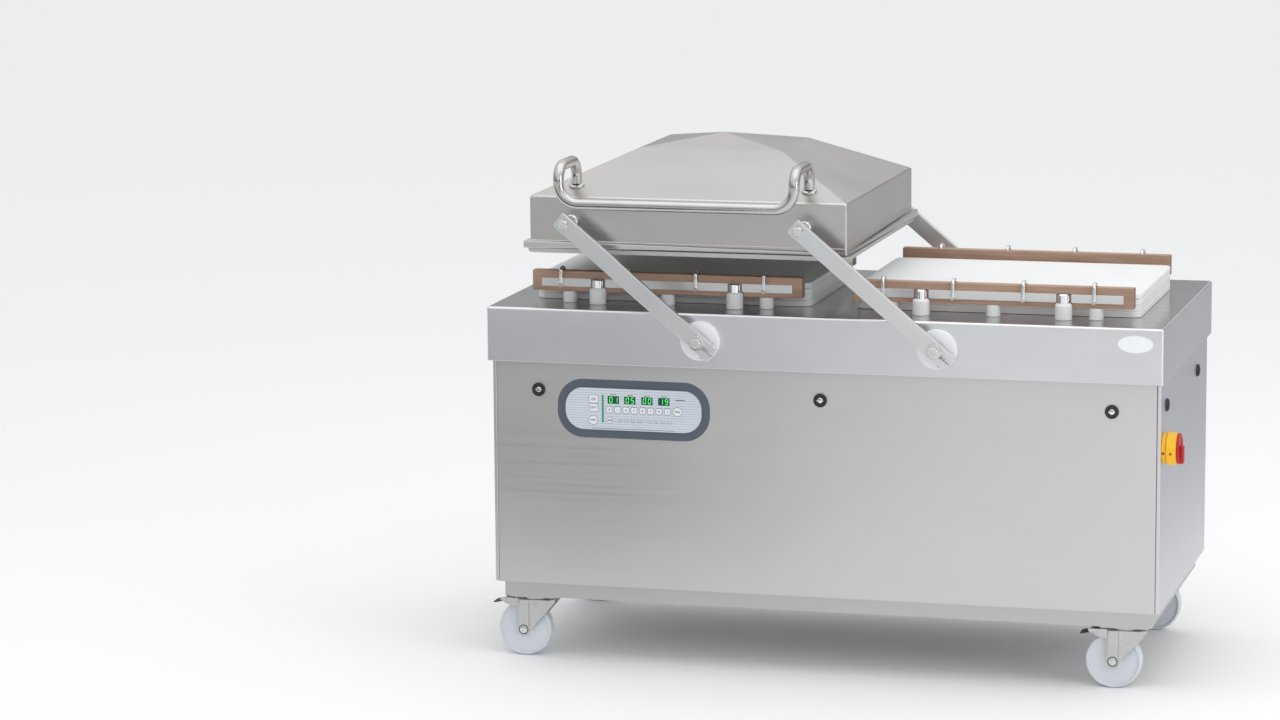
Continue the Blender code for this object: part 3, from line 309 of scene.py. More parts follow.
class Shape:
    """A mesh put together from simple worked forms, all in the row's frame."""

    def __init__(self):
        self.form = bmesh.new()

    def add(self, other, matrix=Matrix.Identity(4)):
        if all(edge.is_manifold for edge in other.edges) and other.calc_volume(signed=True) < 0:
            bmesh.ops.reverse_faces(other, faces=other.faces[:])
        mesh = bpy.data.meshes.new("form")
        other.to_mesh(mesh)
        other.free()
        mesh.transform(matrix)
        self.form.from_mesh(mesh)
        bpy.data.meshes.remove(mesh)
        return self

    def block(self, low, high, round_edges=0.0, segments=3, matrix=Matrix.Identity(4)):
        low, high = Vector(low), Vector(high)
        part = bmesh.new()
        bmesh.ops.create_cube(part, size=1.0)
        bmesh.ops.scale(part, vec=high - low, verts=part.verts)
        bmesh.ops.translate(part, vec=(high + low) / 2, verts=part.verts)
        if round_edges:
            bmesh.ops.bevel(part, geom=part.edges[:], offset=round_edges, segments=segments,
                            profile=0.5, affect="EDGES")
        return self.add(part, matrix)

    def turned(self, profile, axis=Matrix.Identity(4), steps=48):
        """Turns (radius, height) points about Z; radius 0 closes an end."""
        part = bmesh.new()
        rings = []
        for radius, height in profile:
            if radius <= 0.0:
                rings.append([part.verts.new((0, 0, height))])
                continue
            rings.append([part.verts.new((radius * math.cos(2 * math.pi * step / steps),
                                          radius * math.sin(2 * math.pi * step / steps),
                                          height)) for step in range(steps)])
        closed = profile[0][0] > 0.0
        pairs = list(zip(rings, rings[1:])) + ([(rings[-1], rings[0])] if closed else [])
        for one, two in pairs:
            for step in range(steps):
                after = (step + 1) % steps
                corners = [one[step % len(one)], one[after % len(one)],
                           two[after % len(two)], two[step % len(two)]]
                face = list(dict.fromkeys(corners))
                if len(face) > 2:
                    part.faces.new(face)
        bmesh.ops.recalc_face_normals(part, faces=part.faces)
        return self.add(part, axis)

    def swept(self, points, outline, closed=False, matrix=Matrix.Identity(4)):
        """Carries an outline of (side, up) points along a path, without twist."""
        part = bmesh.new()
        path = [Vector(point) for point in points]
        count = len(path)
        rings = []
        side = None
        for place, here in enumerate(path):
            before = path[(place - 1) % count] if closed or place else None
            after = path[(place + 1) % count] if closed or place < count - 1 else None
            run_in = (here - before).normalized() if before is not None else None
            run_out = (after - here).normalized() if after is not None else None
            along = ((run_in or run_out) + (run_out or run_in)).normalized()
            if side is None:
                side = along.cross((0, 0, 1))
                if side.length < 0.01:
                    side = along.cross((0, 1, 0))
            side = (side - along * side.dot(along)).normalized()
            up = side.cross(along)
            stretch = 1.0
            if run_in is not None and run_out is not None:
                stretch = 1.0 / max(0.5, math.cos(run_in.angle(run_out) / 2))
                bend = (run_out - run_in)
                bend = bend.normalized() if bend.length > 1e-6 else side
            ring = []
            for across, high in outline:
                offset = side * across + up * high
                if stretch > 1.0001:
                    offset += bend * (offset.dot(bend) * (stretch - 1.0))
                ring.append(part.verts.new(here + offset))
            rings.append(ring)
        sides = len(outline)
        pairs = list(zip(rings, rings[1:])) + ([(rings[-1], rings[0])] if closed else [])
        for one, two in pairs:
            for step in range(sides):
                after = (step + 1) % sides
                part.faces.new((one[step], one[after], two[after], two[step]))
        if not closed:
            part.faces.new(rings[0])
            part.faces.new(list(reversed(rings[-1])))
        bmesh.ops.recalc_face_normals(part, faces=part.faces)
        return self.add(part, matrix)

    def plate(self, outline, low, high, round_edges=0.0, segments=2,
              matrix=Matrix.Identity(4)):
        """A flat outline in XY given a thickness along Z, with eased edges."""
        part = bmesh.new()
        base = [part.verts.new((x, y, low)) for x, y in outline]
        face = part.faces.new(base)
        raised = bmesh.ops.extrude_face_region(part, geom=[face])["geom"]
        for item in raised:
            if isinstance(item, bmesh.types.BMVert):
                item.co.z = high
        bmesh.ops.recalc_face_normals(part, faces=part.faces)
        if round_edges:
            rim = [edge for edge in part.edges
                   if abs(edge.verts[0].co.z - edge.verts[1].co.z) < 1e-7]
            bmesh.ops.bevel(part, geom=rim, offset=round_edges, segments=segments,
                            profile=0.5, affect="EDGES")
        return self.add(part, matrix)

    def mesh(self, name):
        mesh = bpy.data.meshes.new(name)
        self.form.to_mesh(mesh)
        self.form.free()
        return smooth(mesh)

    def piece(self, name, *fitting):
        """Ends the work: the form becomes a piece with its finish and body; the slot names the
        CAD node it may hide.
        """
        return new_piece(name, self.mesh(name), *fitting)


def facing(place, direction):
    """A matrix whose Z points along a direction, at a place."""
    turn = Vector(direction).to_track_quat("Z", "Y").to_matrix().to_4x4()
    return Matrix.Translation(place) @ turn


def rounded_outline(length, height, radius, steps=10):
    points = []
    for corner, (side_x, side_y) in enumerate(((1, 1), (-1, 1), (-1, -1), (1, -1))):
        for step in range(steps + 1):
            angle = math.radians(90.0 * (corner + step / steps))
            points.append((side_x * (length / 2 - radius) + radius * math.cos(angle),
                           side_y * (height / 2 - radius) + radius * math.sin(angle)))
    return points


def arc(radius, start=0, stop=360, step=12, height=None):
    """Points round a circle or an oval, by angles in degrees."""
    tall = radius if height is None else height
    return [(radius * math.cos(math.radians(turn)), tall * math.sin(math.radians(turn)))
            for turn in range(start, stop, step)]


def moved(points, x, y):
    return [(x + across, y + up) for across, up in points]


corners = [(f"{end}_{side}", end, side, out, way) for end, out in (("front", -1), ("rear", 1))
           for side, way in (("left", -1), ("right", 1))]
upright = Matrix(((1, 0, 0, 0), (0, 0, -1, 0), (0, 1, 0, 0), (0, 0, 0, 1)))

# ------------------------------------------------------------------ table
# The table is one pressed stainless tray, open below, its top ground nearly to a mirror.
# Its edges are rolled to 6 mm and polished brighter than the brushed skirt.
table_sheet = 0.003
edge_radius = 0.006
skirt_steel = brushed("brushed_skirt_steel", 0.75, 0.34, (2.0, 240.0, 240.0), 0.06,
                      (0.99, 0.99, 1.02), 0.006)
top_steel = brushed("polished_table_steel", 0.52, 0.2, (3.0, 60.0, 3.0), 0.03)

table_form = bmesh.new()
bmesh.ops.create_cube(table_form, size=1.0)
bmesh.ops.scale(table_form, vec=table_high - table_low, verts=table_form.verts)
bmesh.ops.translate(table_form, vec=(table_high + table_low) / 2, verts=table_form.verts)
rolled = [edge for edge in table_form.edges
          if max(vert.co.z for vert in edge.verts) > table_z - 0.001]
bmesh.ops.bevel(table_form, geom=rolled, offset=edge_radius, segments=5, profile=0.5,
                affect="EDGES")
hem = [edge for edge in table_form.edges
       if max(vert.co.z for vert in edge.verts) < table_low.z + 0.001]
bmesh.ops.bevel(table_form, geom=hem, offset=0.0013, segments=2, profile=0.5, affect="EDGES")
table_form.normal_update()
underside = [max(table_form.faces, key=lambda face: -face.normal.z * face.calc_area())]
bmesh.ops.inset_region(table_form, faces=underside, thickness=table_sheet)
raised = bmesh.ops.extrude_discrete_faces(table_form, faces=underside)["faces"]
for vert in raised[0].verts:
    vert.co.z = table_z - table_sheet
bmesh.ops.recalc_face_normals(table_form, faces=table_form.faces)
table = Shape().add(table_form).piece("table_tray", skirt_steel, "cabinet", "table_top", True)
table.data.materials.append(top_steel)
for face in table.data.polygons:
    if face.normal.z > 0.9:
        face.material_index = 1

# ------------------------------------------------------------------ bearing discs
# Turned white polyethylene discs, screwed to the skirt from behind. The cross shafts run
# in their collars.


def moulded(name, colour, roughness, variation=0.03, grain=900.0, depth=0.08, coat=0.0,
            see_through=0.0):
    """Plastic or rubber: slight tone clouds, and a fine skin that breaks the gloss."""
    finish = Finish(name, colour, roughness, 0.0, coat, 0.45, see_through)
    clouds = finish.noise(9.0, detail=3.0)
    skin = finish.noise(grain, detail=2.0)
    shade = ((clouds - 0.5) * 1.3 + (skin - 0.5) * 0.5 + 0.5).limited()
    dark = tuple(max(0.0, tone * (1.0 - variation * 2)) for tone in colour)
    light = tuple(min(1.0, tone * (1.0 + variation)) for tone in colour)
    finish.tint(shade, dark, light)
    finish.feed("Roughness", (clouds - 0.5) * 0.22 + (skin - 0.5) * 0.1 + roughness)
    finish.relief(skin, depth, 0.0002)
    return finish.material


disc_white = moulded("white_disc_plastic", (0.83, 0.84, 0.86), 0.42, see_through=0.05)
disc_bore = 0.0132
for stem, end, side, out, way in corners:
    node = f"{stem}_pivot_disc"
    low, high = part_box(node)
    radius = (high.z - low.z) / 2
    centre = (low + high) / 2
    face = high.y if out > 0 else -low.y
    back = face - (table_high.y if out > 0 else -table_low.y)
    pivot_span = abs(centre.x - middle_x)
    pivot_z = centre.z
    disc = Shape().turned(
        [(disc_bore, 0.0), (disc_bore, -0.0012), (0.019, -0.0012), (0.02, 0.0),
         (radius - 0.003, 0.0), (radius - 0.0009, -0.0009), (radius, -0.003),
         (radius, 0.0006 - back), (radius - 0.0006, -back), (0.0195, -back),
         (0.0195, -back - 0.013), (disc_bore, -back - 0.013)],
        facing((centre.x, out * face, centre.z), (0, out, 0)), 64)
    disc.piece(f"{stem}_bearing_disc", disc_white, "cabinet", node, True)

# ------------------------------------------------------------------ swing arms
# Flat stainless bars on edge. The lower end is slit and clamped on the cross shaft by a
# cross screw; the upper end turns on the lid's bolt.
gasket_low, gasket_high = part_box("lid_gasket")
hood_low, hood_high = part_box("lid_hood")
lid_x = (hood_low.x + hood_high.x) / 2
lid_base = hood_low.z
pin_rise = 0.0615
lean = math.atan2(middle_x - lid_x, lid_base + pin_rise - pivot_z)
arm_length = math.hypot(middle_x - lid_x, lid_base + pin_rise - pivot_z)
arm_width = 0.038
arm_top = 0.019
arm_bottom = 0.045
shaft_radius = 0.0125

arm_steel = Finish("brushed_arm_steel", (0.7, 0.7, 0.71), 0.28, 1.0)
arm_lines = arm_steel.noise(1.0, (260.0, 260.0, 3.0), 3.0, (0.0, lean, 0.0))
arm_broad = arm_steel.noise(5.0, detail=2.0)
arm_steel.tint(((arm_lines - 0.5) * 0.4 + (arm_broad - 0.5) * 0.7 + 0.5).limited(),
               (0.66, 0.66, 0.67), (0.86, 0.86, 0.87))
arm_steel.feed("Roughness", (arm_lines - 0.5) * 0.12 + (arm_broad - 0.5) * 0.1 + 0.36)
arm_steel.relief(arm_lines, 0.04, 0.0001)


def arm_outline():
    """Half-slit bar: its long sides are straight and its ends have eased corners."""
    half = arm_width / 2
    slit = 0.0015
    corner = 0.003
    reach = arm_bottom - corner
    tip = arm_length + arm_top
    eye = [math.radians(-96.0 - 348.0 * step / 24) for step in range(1, 24)]
    return [(half - corner, tip), (-half + corner, tip), (-half, tip - corner), (-half, -reach),
            (-half + corner, -arm_bottom), (-slit, -arm_bottom),
            *((0.0129 * math.cos(turn), 0.0129 * math.sin(turn)) for turn in eye),
            (slit, -arm_bottom), (half - corner, -arm_bottom), (half, -reach),
            (half, tip - corner)]


def bolt_head(shape, place, direction, radius, height, socket=0.45):
    """Low round head with an eased rim and a socket, turned round here rather than hexagonal, on
    a thin washer.
    """
    axis = facing(place, direction)
    shape.turned([(0.0, height * 0.45), (radius * socket, height * 0.45),
                  (radius * socket, height), (radius * 0.86, height),
                  (radius * 0.97, height * 0.88), (radius, height * 0.7),
                  (radius, height * 0.16), (radius * 1.22, height * 0.16),
                  (radius * 1.24, height * 0.1), (radius * 1.22, 0.0), (0.0, 0.0)], axis, 40)


for stem, end, side, out, way in corners:
    node = f"{stem}_arm"
    low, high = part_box(node)
    base = (Matrix.Translation((middle_x + way * pivot_span, 0, pivot_z))
            @ Matrix.Rotation(-lean, 4, "Y"))
    arm = Shape().plate(arm_outline(), -high.y, -low.y, 0.0012, 2, base @ upright)
    arm.piece(f"{stem}_swing_arm", arm_steel.material, f"{side}_swing", node, True)
    screw_at = Vector((0, (low.y + high.y) / 2, -0.03))
    clamp = Shape()
    for sign in (1, -1):
        bolt_head(clamp, base @ (screw_at + Vector((sign * arm_width / 2, 0, 0))),
                  base.to_3x3() @ Vector((sign, 0, 0)), 0.0048, 0.004)
    clamp.turned([(0.0, 0.002), (0.0026, 0.002), (0.0026, -0.002), (0.0, -0.002)],
                 facing(base @ screw_at, base.to_3x3() @ Vector((1, 0, 0))), 16)
    clamp.piece(f"{stem}_clamp_screw", bright_steel, f"{side}_swing", node)

# ------------------------------------------------------------------ cross shafts, springs
# Ground steel shafts through the machine, with a domed cap screwed into each end, and the
# balance springs wound round them inside the cabinet.
shaft_steel = brushed("ground_shaft_steel", 0.68, 0.22, (90.0, 4.0, 90.0), 0.03)
spring_steel = brushed("oiled_spring_steel", 0.32, 0.45, (60.0, 60.0, 60.0), 0.05)
for side, way in (("left", -1), ("right", 1)):
    finish_node(f"{side}_cross_shaft", shaft_steel)
    finish_node(f"{side}_balance_spring", spring_steel)
    shaft_low, shaft_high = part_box(f"{side}_cross_shaft")
    centre_x = middle_x + way * pivot_span
    collar_radius, collar_near, collar_far = 0.034, 0.0417, 0.0557
    reach = shaft_high.y - middle_y - 0.003
    shaft = Shape().turned(
        [(0.0, reach), (shaft_radius, reach), (shaft_radius, collar_far),
         (collar_radius, collar_far), (collar_radius, collar_near), (shaft_radius, collar_near),
         (shaft_radius, shaft_low.y - middle_y + 0.003),
         (0.0, shaft_low.y - middle_y + 0.003)],
        facing((centre_x, middle_y, pivot_z), (0, 1, 0)), 40)
    for out, tip in ((-1, shaft_low.y), (1, shaft_high.y)):
        shaft.turned([(0.0, 0.01), (0.0042, 0.01), (0.0046, 0.0116), (0.0085, 0.0116),
                      (0.0094, 0.0108), (0.0098, 0.0062), (0.0112, 0.0062),
                      (0.0118, 0.007), (0.0158, 0.0068), (0.0165, 0.006), (0.0165, 0.0004),
                      (0.0161, 0.0), (0.0, 0.0)],
                     facing((centre_x, tip - out * 0.0117, pivot_z), (0, out, 0)), 56)
    shaft.piece(f"{side}_shaft_with_caps", shaft_steel, f"{side}_swing",
                f"{side}_cross_shaft", True)

# ------------------------------------------------------------------ lid
# Welded from 2.5 mm sheet: four upright walls, four facets to the knee and a shallow
# pyramid. A folded flange runs round the foot; bosses on the long walls carry the bolts.
flange_x = (hood_high.x - hood_low.x) / 2
flange_y = (gasket_high.y - gasket_low.y) / 2 + 0.005
flange_lip = 0.012
flange_height = 0.0165
wall_x = flange_x - flange_lip
wall_y = flange_y - flange_lip
wall_top = 0.1165
knee_x, knee_y, knee_rise = 0.16625, 0.139, 0.207
apex_rise = hood_high.z - lid_base
lid_sheet = 0.0025

lid_steel = Finish("brushed_lid_steel", (0.48, 0.48, 0.49), 0.32, 1.0)
lid_lines = lid_steel.noise(1.0, (2.0, 240.0, 240.0), 3.0)
lid_broad = lid_steel.noise(3.0, (1.0, 1.0, 2.0), 3.0)
lid_steel.tint(((lid_lines - 0.5) * 0.4 + (lid_broad - 0.5) * 0.9 + 0.5).limited(),
               (0.51, 0.49, 0.475), (0.64, 0.62, 0.605))
lid_steel.feed("Roughness", (lid_lines - 0.5) * 0.14 + (lid_broad - 0.5) * 0.12 + 0.32)
lid_steel.relief(lid_lines * 0.00002 + lid_broad * 0.003, 1.0, 1.0)



def round_lid(half_x, half_y, rise):
    """The four corners of a rectangle round the lid's axis, at a height over its foot."""
    return [(lid_x + sx * half_x, middle_y + sy * half_y, lid_base + rise)
            for sx, sy in ((-1, -1), (1, -1), (1, 1), (-1, 1))]


hood_form = bmesh.new()
rings = [[hood_form.verts.new(point) for point in round_lid(*size)]
         for size in ((wall_x, wall_y, 0.002), (wall_x, wall_y, wall_top),
                      (knee_x, knee_y, knee_rise))]
for lower, upper in zip(rings, rings[1:]):
    for step in range(4):
        hood_form.faces.new((lower[step], lower[(step + 1) % 4], upper[(step + 1) % 4],
                             upper[step]))
apex = hood_form.verts.new((lid_x, middle_y, lid_base + apex_rise))
for step in range(4):
    hood_form.faces.new((rings[2][step], rings[2][(step + 1) % 4], apex))
hood_form.normal_update()
welds = [edge for edge in hood_form.edges if len(edge.link_faces) == 2
         and edge.calc_face_angle(0) > math.radians(8)]
bmesh.ops.bevel(hood_form, geom=welds, offset=0.004, segments=4, profile=0.5, affect="EDGES")
hood = stand("lid_shell_form", Shape().add(hood_form).mesh("lid_shell"))
wall = hood.modifiers.new("sheet", "SOLIDIFY")
wall.thickness = lid_sheet
wall.offset = -1.0
wall.use_even_offset = True


def plain_result(worked):
    """The mesh that an object's modifiers make; the object itself is done with."""
    result = bpy.data.meshes.new_from_object(
        worked.evaluated_get(bpy.context.evaluated_depsgraph_get()))
    bpy.data.objects.remove(worked, do_unlink=True)
    return smooth(result)


new_piece("lid_shell", plain_result(hood), lid_steel.material, "lid", "lid_hood", True)

flange_steel = brushed("bright_flange_steel", 0.66, 0.3, (2.0, 2.0, 260.0), 0.03)
seam = 0.0008
rim_out = flange_lip / 2 + seam
rim = Shape().swept(round_lid(wall_x + rim_out, wall_y + rim_out, flange_height / 2),
                    rounded_outline(flange_lip - 2 * seam, flange_height, 0.0016, 3), True)
rim.piece("lid_flange", flange_steel, "lid", "lid_hood")
bead = Shape().swept(round_lid(wall_x + 0.0004, wall_y + 0.0004, flange_height + 0.0004),
                     arc(0.0018, step=45), True)
bead.piece("flange_weld", flange_steel, "lid", "lid_hood")

for stem, end, side, out, way in corners:
    arm_low, arm_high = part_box(f"{stem}_arm")
    inner_face, outer_face = (arm_low.y, arm_high.y)[::out]
    tip = hood_low.y if out < 0 else hood_high.y
    x = lid_x + way * pivot_span
    z = lid_base + pin_rise
    wall_face = middle_y + out * wall_y
    reach = abs(inner_face - wall_face) - 0.0003
    pin_end = abs(tip - wall_face) - 0.002
    pin = Shape().turned(
        [(0.0, pin_end), (0.0078, pin_end), (0.0078, reach), (0.0118, reach),
         (0.013, reach - 0.0012), (0.013, 0.004), (0.0148, 0.0022), (0.0158, 0.0002),
         (0.0, 0.0)], facing((x, wall_face, z), (0, out, 0)), 40)
    bolt_head(pin, (x, outer_face + out * 0.0003, z), (0, out, 0), 0.0112,
              abs(tip - outer_face) - 0.0003)
    pin.piece(f"{stem}_lid_boss", bright_steel, "lid", "lid_hood")

# ------------------------------------------------------------------ lid gasket
# Extruded silicone profile pushed into the flange's channel, with a soft double lip.
silicone = moulded("clear_grey_silicone", (0.48, 0.48, 0.47), 0.5, 0.05, 500.0, 0.15)
seal_high = gasket_high.z - gasket_low.z
seal_mid_x = (gasket_high.x - gasket_low.x) / 2 - 0.007
seal_mid_y = (gasket_high.y - gasket_low.y) / 2 - 0.007
profile = [(-0.007, 0.0), (-0.007, -0.004), (-0.0055, -seal_high + 0.001), (-0.0035, -seal_high),
           (-0.001, -seal_high + 0.0025), (0.001, -seal_high + 0.0025), (0.0035, -seal_high),
           (0.0055, -seal_high + 0.001), (0.007, -0.004), (0.007, 0.0)]
seal = Shape().swept([(lid_x + x, middle_y + y, gasket_high.z) for x, y in rounded_outline(
    2 * seal_mid_x, 2 * seal_mid_y, 0.012, 6)], profile, True)
seal.piece("gasket_profile", silicone, "lid", "lid_gasket", True)
for name in ("front_counter_bar", "rear_counter_bar"):
    finish_node(name, silicone)

# ------------------------------------------------------------------ lid handle
# One 25 mm stainless tube, bent cold and polished, with a pressed collar at each foot.
tube_radius = 0.0123
bar_y, foot_y = middle_y - 0.445, middle_y - 0.3
bar_z, top_z = lid_base + 0.1135, lid_base + 0.1965
slope = math.atan2(knee_rise - wall_top, wall_y - knee_y)
foot_z = lid_base + wall_top + (wall_y - (middle_y - foot_y)) * math.tan(slope)


def bend(before, corner, after, radius, steps=10):
    """Points of a round bend between two straight runs."""
    to_before = (Vector(before) - Vector(corner)).normalized()
    to_after = (Vector(after) - Vector(corner)).normalized()
    half = to_before.angle(to_after) / 2
    centre = Vector(corner) + (to_before + to_after).normalized() * (radius / math.sin(half))
    start = Vector(corner) + to_before * (radius / math.tan(half)) - centre
    finish = Vector(corner) + to_after * (radius / math.tan(half)) - centre
    return [tuple(centre + start.slerp(finish, step / steps).normalized() * radius)
            for step in range(steps + 1)]


foot, top_back, top_front, bar_end = ((pivot_span, y, z) for y, z in (
    (foot_y, foot_z + 0.004), (foot_y, top_z), (bar_y, top_z), (bar_y, bar_z)))
run = [foot] + bend(foot, top_back, top_front, 0.0405) + bend(
    top_back, top_front, bar_end, 0.0345) + bend(top_front, bar_end, (0, bar_y, bar_z), 0.045)
run = [(lid_x + x, y, z) for x, y, z in run] + [
    (lid_x - x, y, z) for x, y, z in reversed(run)]
handle = Shape().swept(run, arc(tube_radius))
for way in (-1, 1):
    normal = (0, -math.sin(slope), math.cos(slope))
    base = Vector((lid_x + way * pivot_span, foot_y, foot_z)) + Vector(normal) * 0.0004
    handle.turned([(0.0, 0.0052), (0.015, 0.0052), (0.0168, 0.0045), (0.0178, 0.003),
                   (0.018, 0.0), (0.0, 0.0)], facing(base, normal), 40)
handle_steel = Finish("polished_handle_steel", (0.74, 0.74, 0.75), 0.16, 1.0)
handle_cloud = handle_steel.noise(14.0, detail=4.0)
handle_steel.tint(handle_cloud, (0.5, 0.485, 0.47), (0.62, 0.605, 0.59))
handle_steel.feed("Roughness", (handle_cloud - 0.5) * 0.18 + 0.22)
handle.piece("handle_tube", handle_steel.material, "lid", "lid_handle", True)

# ------------------------------------------------------------------ counter bars
# Silicone pressure bars under the lid, on folded brackets. They are notched where the
# spring clips of the seal bars stand.
clip_pitch = 0.158
clip_start = {"front": -0.246, "rear": -0.226}
bar_offset = 0.266
bar_half = 0.315
bar_side = 0.013
notch_half = 0.01
bracket_places = (-0.23, 0.23)
bracket_half = 0.015
for end, out in (("front", -1), ("rear", 1)):
    low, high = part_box(f"{end}_counter_bar")
    bar_y = middle_y + out * bar_offset
    pressure = Shape().block((lid_x - bar_half, bar_y - bar_side, high.z - 0.0085),
                             (lid_x + bar_half, bar_y + bar_side, high.z), 0.0008)
    start = -bar_half
    for step in range(5):
        notch = clip_start[end] + step * clip_pitch if step < 4 else bar_half + notch_half
        stop = notch - notch_half
        pressure.block((lid_x + start, bar_y - bar_side, low.z),
                       (lid_x + stop, bar_y + bar_side, high.z - 0.008), 0.0012)
        start = notch + notch_half
    pressure.piece(f"{end}_pressure_bar", silicone, "lid", f"{end}_counter_bar", True)
    brackets = Shape()
    wall_inside = middle_y + out * (wall_y - lid_sheet - 0.0003)
    for place in bracket_places:
        near, far = sorted((bar_y + out * 0.0133, wall_inside))
        brackets.block((lid_x + place - bracket_half, near, high.z - 0.0062),
                       (lid_x + place + bracket_half, far, high.z - 0.0042), 0.0005)
        near, far = sorted((wall_inside, wall_inside - out * 0.002))
        brackets.block((lid_x + place - bracket_half, near, high.z - 0.02),
                       (lid_x + place + bracket_half, far, high.z - 0.0042), 0.0005)
    brackets.piece(f"{end}_bar_brackets", bright_steel, "lid", "lid_hood")

# ------------------------------------------------------------------ insert boards
# White polyethylene boards, 13.5 mm thick, laid loose on one another to fill the chamber.
# Their corners are sawn round and their edges eased.
board_white = moulded("white_insert_board", (0.86, 0.865, 0.87), 0.46, 0.02, 700.0, 0.1,
                      see_through=0.05)
board_shift = ((0.0006, -0.0004), (-0.0005, 0.0005), (0.0002, 0.0003))
for side in ("left", "right"):
    low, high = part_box(f"{side}_lower_plates")
    top_low, top_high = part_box(f"{side}_upper_plate")
    station_x = (low.x + high.x) / 2
    layer = (high.z - low.z) / 3
    lower = Shape()
    for step, (shift_x, shift_y) in enumerate(board_shift):
        outline = moved(rounded_outline(high.x - low.x - 0.0012, high.y - low.y - 0.001, 0.022,
                                        12), station_x + shift_x, middle_y + shift_y)
        lower.plate(outline, low.z + step * layer + 0.0001, low.z + (step + 1) * layer - 0.0001,
                    0.0014, 3)
    lower.piece(f"{side}_lower_boards", board_white, "cabinet", f"{side}_lower_plates", True)
    outline = moved(rounded_outline(top_high.x - top_low.x, top_high.y - top_low.y, 0.022, 12),
                    station_x, middle_y)
    upper = Shape().plate(outline, top_low.z, top_high.z, 0.0028, 4)
    upper.piece(f"{side}_upper_board", board_white, "cabinet", f"{side}_upper_plate", True)

# ------------------------------------------------------------------ lift cylinders
# White acetal caps and support posts screwed to a rail under the table, and the chromed
# pistons that raise a seal bar, tied together below.
lift_white = moulded("white_acetal", (0.8, 0.805, 0.81), 0.36, see_through=0.04)
chrome = Finish("chromed_piston", (0.8, 0.8, 0.81), 0.08, 1.0)
chrome_haze = chrome.noise(60.0, (1.0, 1.0, 0.2), 3.0)
chrome.tint(chrome_haze, (0.74, 0.74, 0.75), (0.84, 0.84, 0.85))
chrome.feed("Roughness", (chrome_haze - 0.5) * 0.14 + 0.1)
bar_z = table_z + 0.0268
bar_height = 0.046
lift_y = 0.283
lift_x = 0.16
cap_height = 0.037
cap_radius = 0.019
piston_top = 0.0577
rail_near, rail_far, rail_height = 0.2495, 0.2995, 0.018
post_places = (-0.23, 0.0, 0.23)
station_centres = {side: sum(corner.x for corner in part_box(f"{side}_upper_plate")) / 2
                   for side in ("left", "right")}
for stem, end, side, out, way in corners:
    station_x = station_centres[side]
    unit_low, unit_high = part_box(f"{stem}_lift_unit")
    yoke_low, yoke_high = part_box(f"{stem}_lift_yoke")
    cylinder_y = middle_y + out * lift_y
    near, far = sorted((middle_y + out * rail_near, middle_y + out * rail_far))
    unit = Shape().block((unit_low.x, near, unit_low.z),
                         (unit_high.x, far, unit_low.z + rail_height), 0.002)
    yoke = Shape().block((yoke_low.x, cylinder_y - 0.01, yoke_low.z),
                         (yoke_high.x, cylinder_y + 0.01, yoke_low.z + 0.008), 0.0015)
    for place in (-lift_x, lift_x):
        axis = Matrix.Translation((station_x + place, cylinder_y, table_z))
        unit.turned([(0.0134, 0.0355), (0.0142, cap_height), (0.0152, cap_height),
                     (0.018, cap_height - 0.0036), (0.0188, cap_height - 0.0046),
                     (cap_radius, cap_height - 0.006), (cap_radius, 0.0014), (0.0184, 0.0003),
                     (0.0134, 0.0003)], axis, 56)
        yoke.turned([(0.0, piston_top), (0.0095, piston_top), (0.0104, piston_top - 0.0003),
                     (0.0127, piston_top - 0.003), (0.013, piston_top - 0.004),
                     (0.013, 0.0088), (0.0, 0.0088)], axis, 56)
        yoke.turned([(0.0, 0.009), (0.006, 0.009), (0.006, yoke_low.z + 0.006 - table_z),
                     (0.0, yoke_low.z + 0.006 - table_z)], axis, 20)
    for place in post_places:
        post = Matrix.Translation((station_x + place, middle_y + out * bar_offset, table_z))
        unit.turned([(0.0, 0.0263), (0.0146, 0.0263), (0.0157, 0.0258), (0.016, 0.0248),
                     (0.016, 0.0016), (0.0154, 0.0003), (0.0, 0.0003)], post, 48)
    unit.piece(f"{stem}_lift_cylinders", lift_white, "cabinet", f"{stem}_lift_unit", True)
    yoke.piece(f"{stem}_lift_pistons", chrome.material, f"{stem}_lift", f"{stem}_lift_yoke",
               True)

# ------------------------------------------------------------------ seal bars
# Brown phenolic laminate bars, machined all over. A glass-cloth tape lies on top, an
# aluminium strip is let into the outer face, and sprung wire clips hook over both.
laminate = Finish("brown_phenolic_laminate", (0.42, 0.25, 0.17), 0.48, 0.0)
laminate_lines = laminate.noise(1.0, (5.0, 700.0, 420.0), 3.0)
laminate_broad = laminate.noise(7.0, (1.0, 4.0, 4.0), 4.0)
# The bar's end faces, picked out by their normal along X, are made darker: painted shade on the
# ends.
laminate_facing = laminate.node("ShaderNodeNewGeometry", output=1)
end_side = laminate.node("ShaderNodeSeparateXYZ", output=0, Vector=laminate_facing)
end_face_shade = (end_side * end_side).over(0.6)
laminate.tint(((laminate_lines - 0.5) * 0.8 + (laminate_broad - 0.5) * 1.1 + 0.5
               - end_face_shade * 1.2).limited(), (0.27, 0.155, 0.105), (0.55, 0.365, 0.265))
laminate.feed("Roughness", (laminate_lines - 0.5) * 0.2 + 0.47)
laminate.relief(laminate_lines, 0.15, 0.0002)

tape_brown = Finish("glass_cloth_tape", (0.5, 0.33, 0.22), 0.4, 0.0, 0.0, 0.5)
warp, weft = (tape_brown.node("ShaderNodeTexWave", {"bands_direction": way},
                              Vector=tape_brown.place(), Scale=260.0, Distortion=0.4)
              for way in "XY")
tape_brown.tint((warp * weft * 0.5 + tape_brown.noise(14.0) * 0.6).limited(),
                (0.36, 0.22, 0.14), (0.58, 0.4, 0.28))
tape_brown.relief(warp + weft, 0.15, 0.0002)

strip_aluminium = brushed("sawn_aluminium_strip", 0.78, 0.4, (4.0, 300.0, 300.0), 0.03)

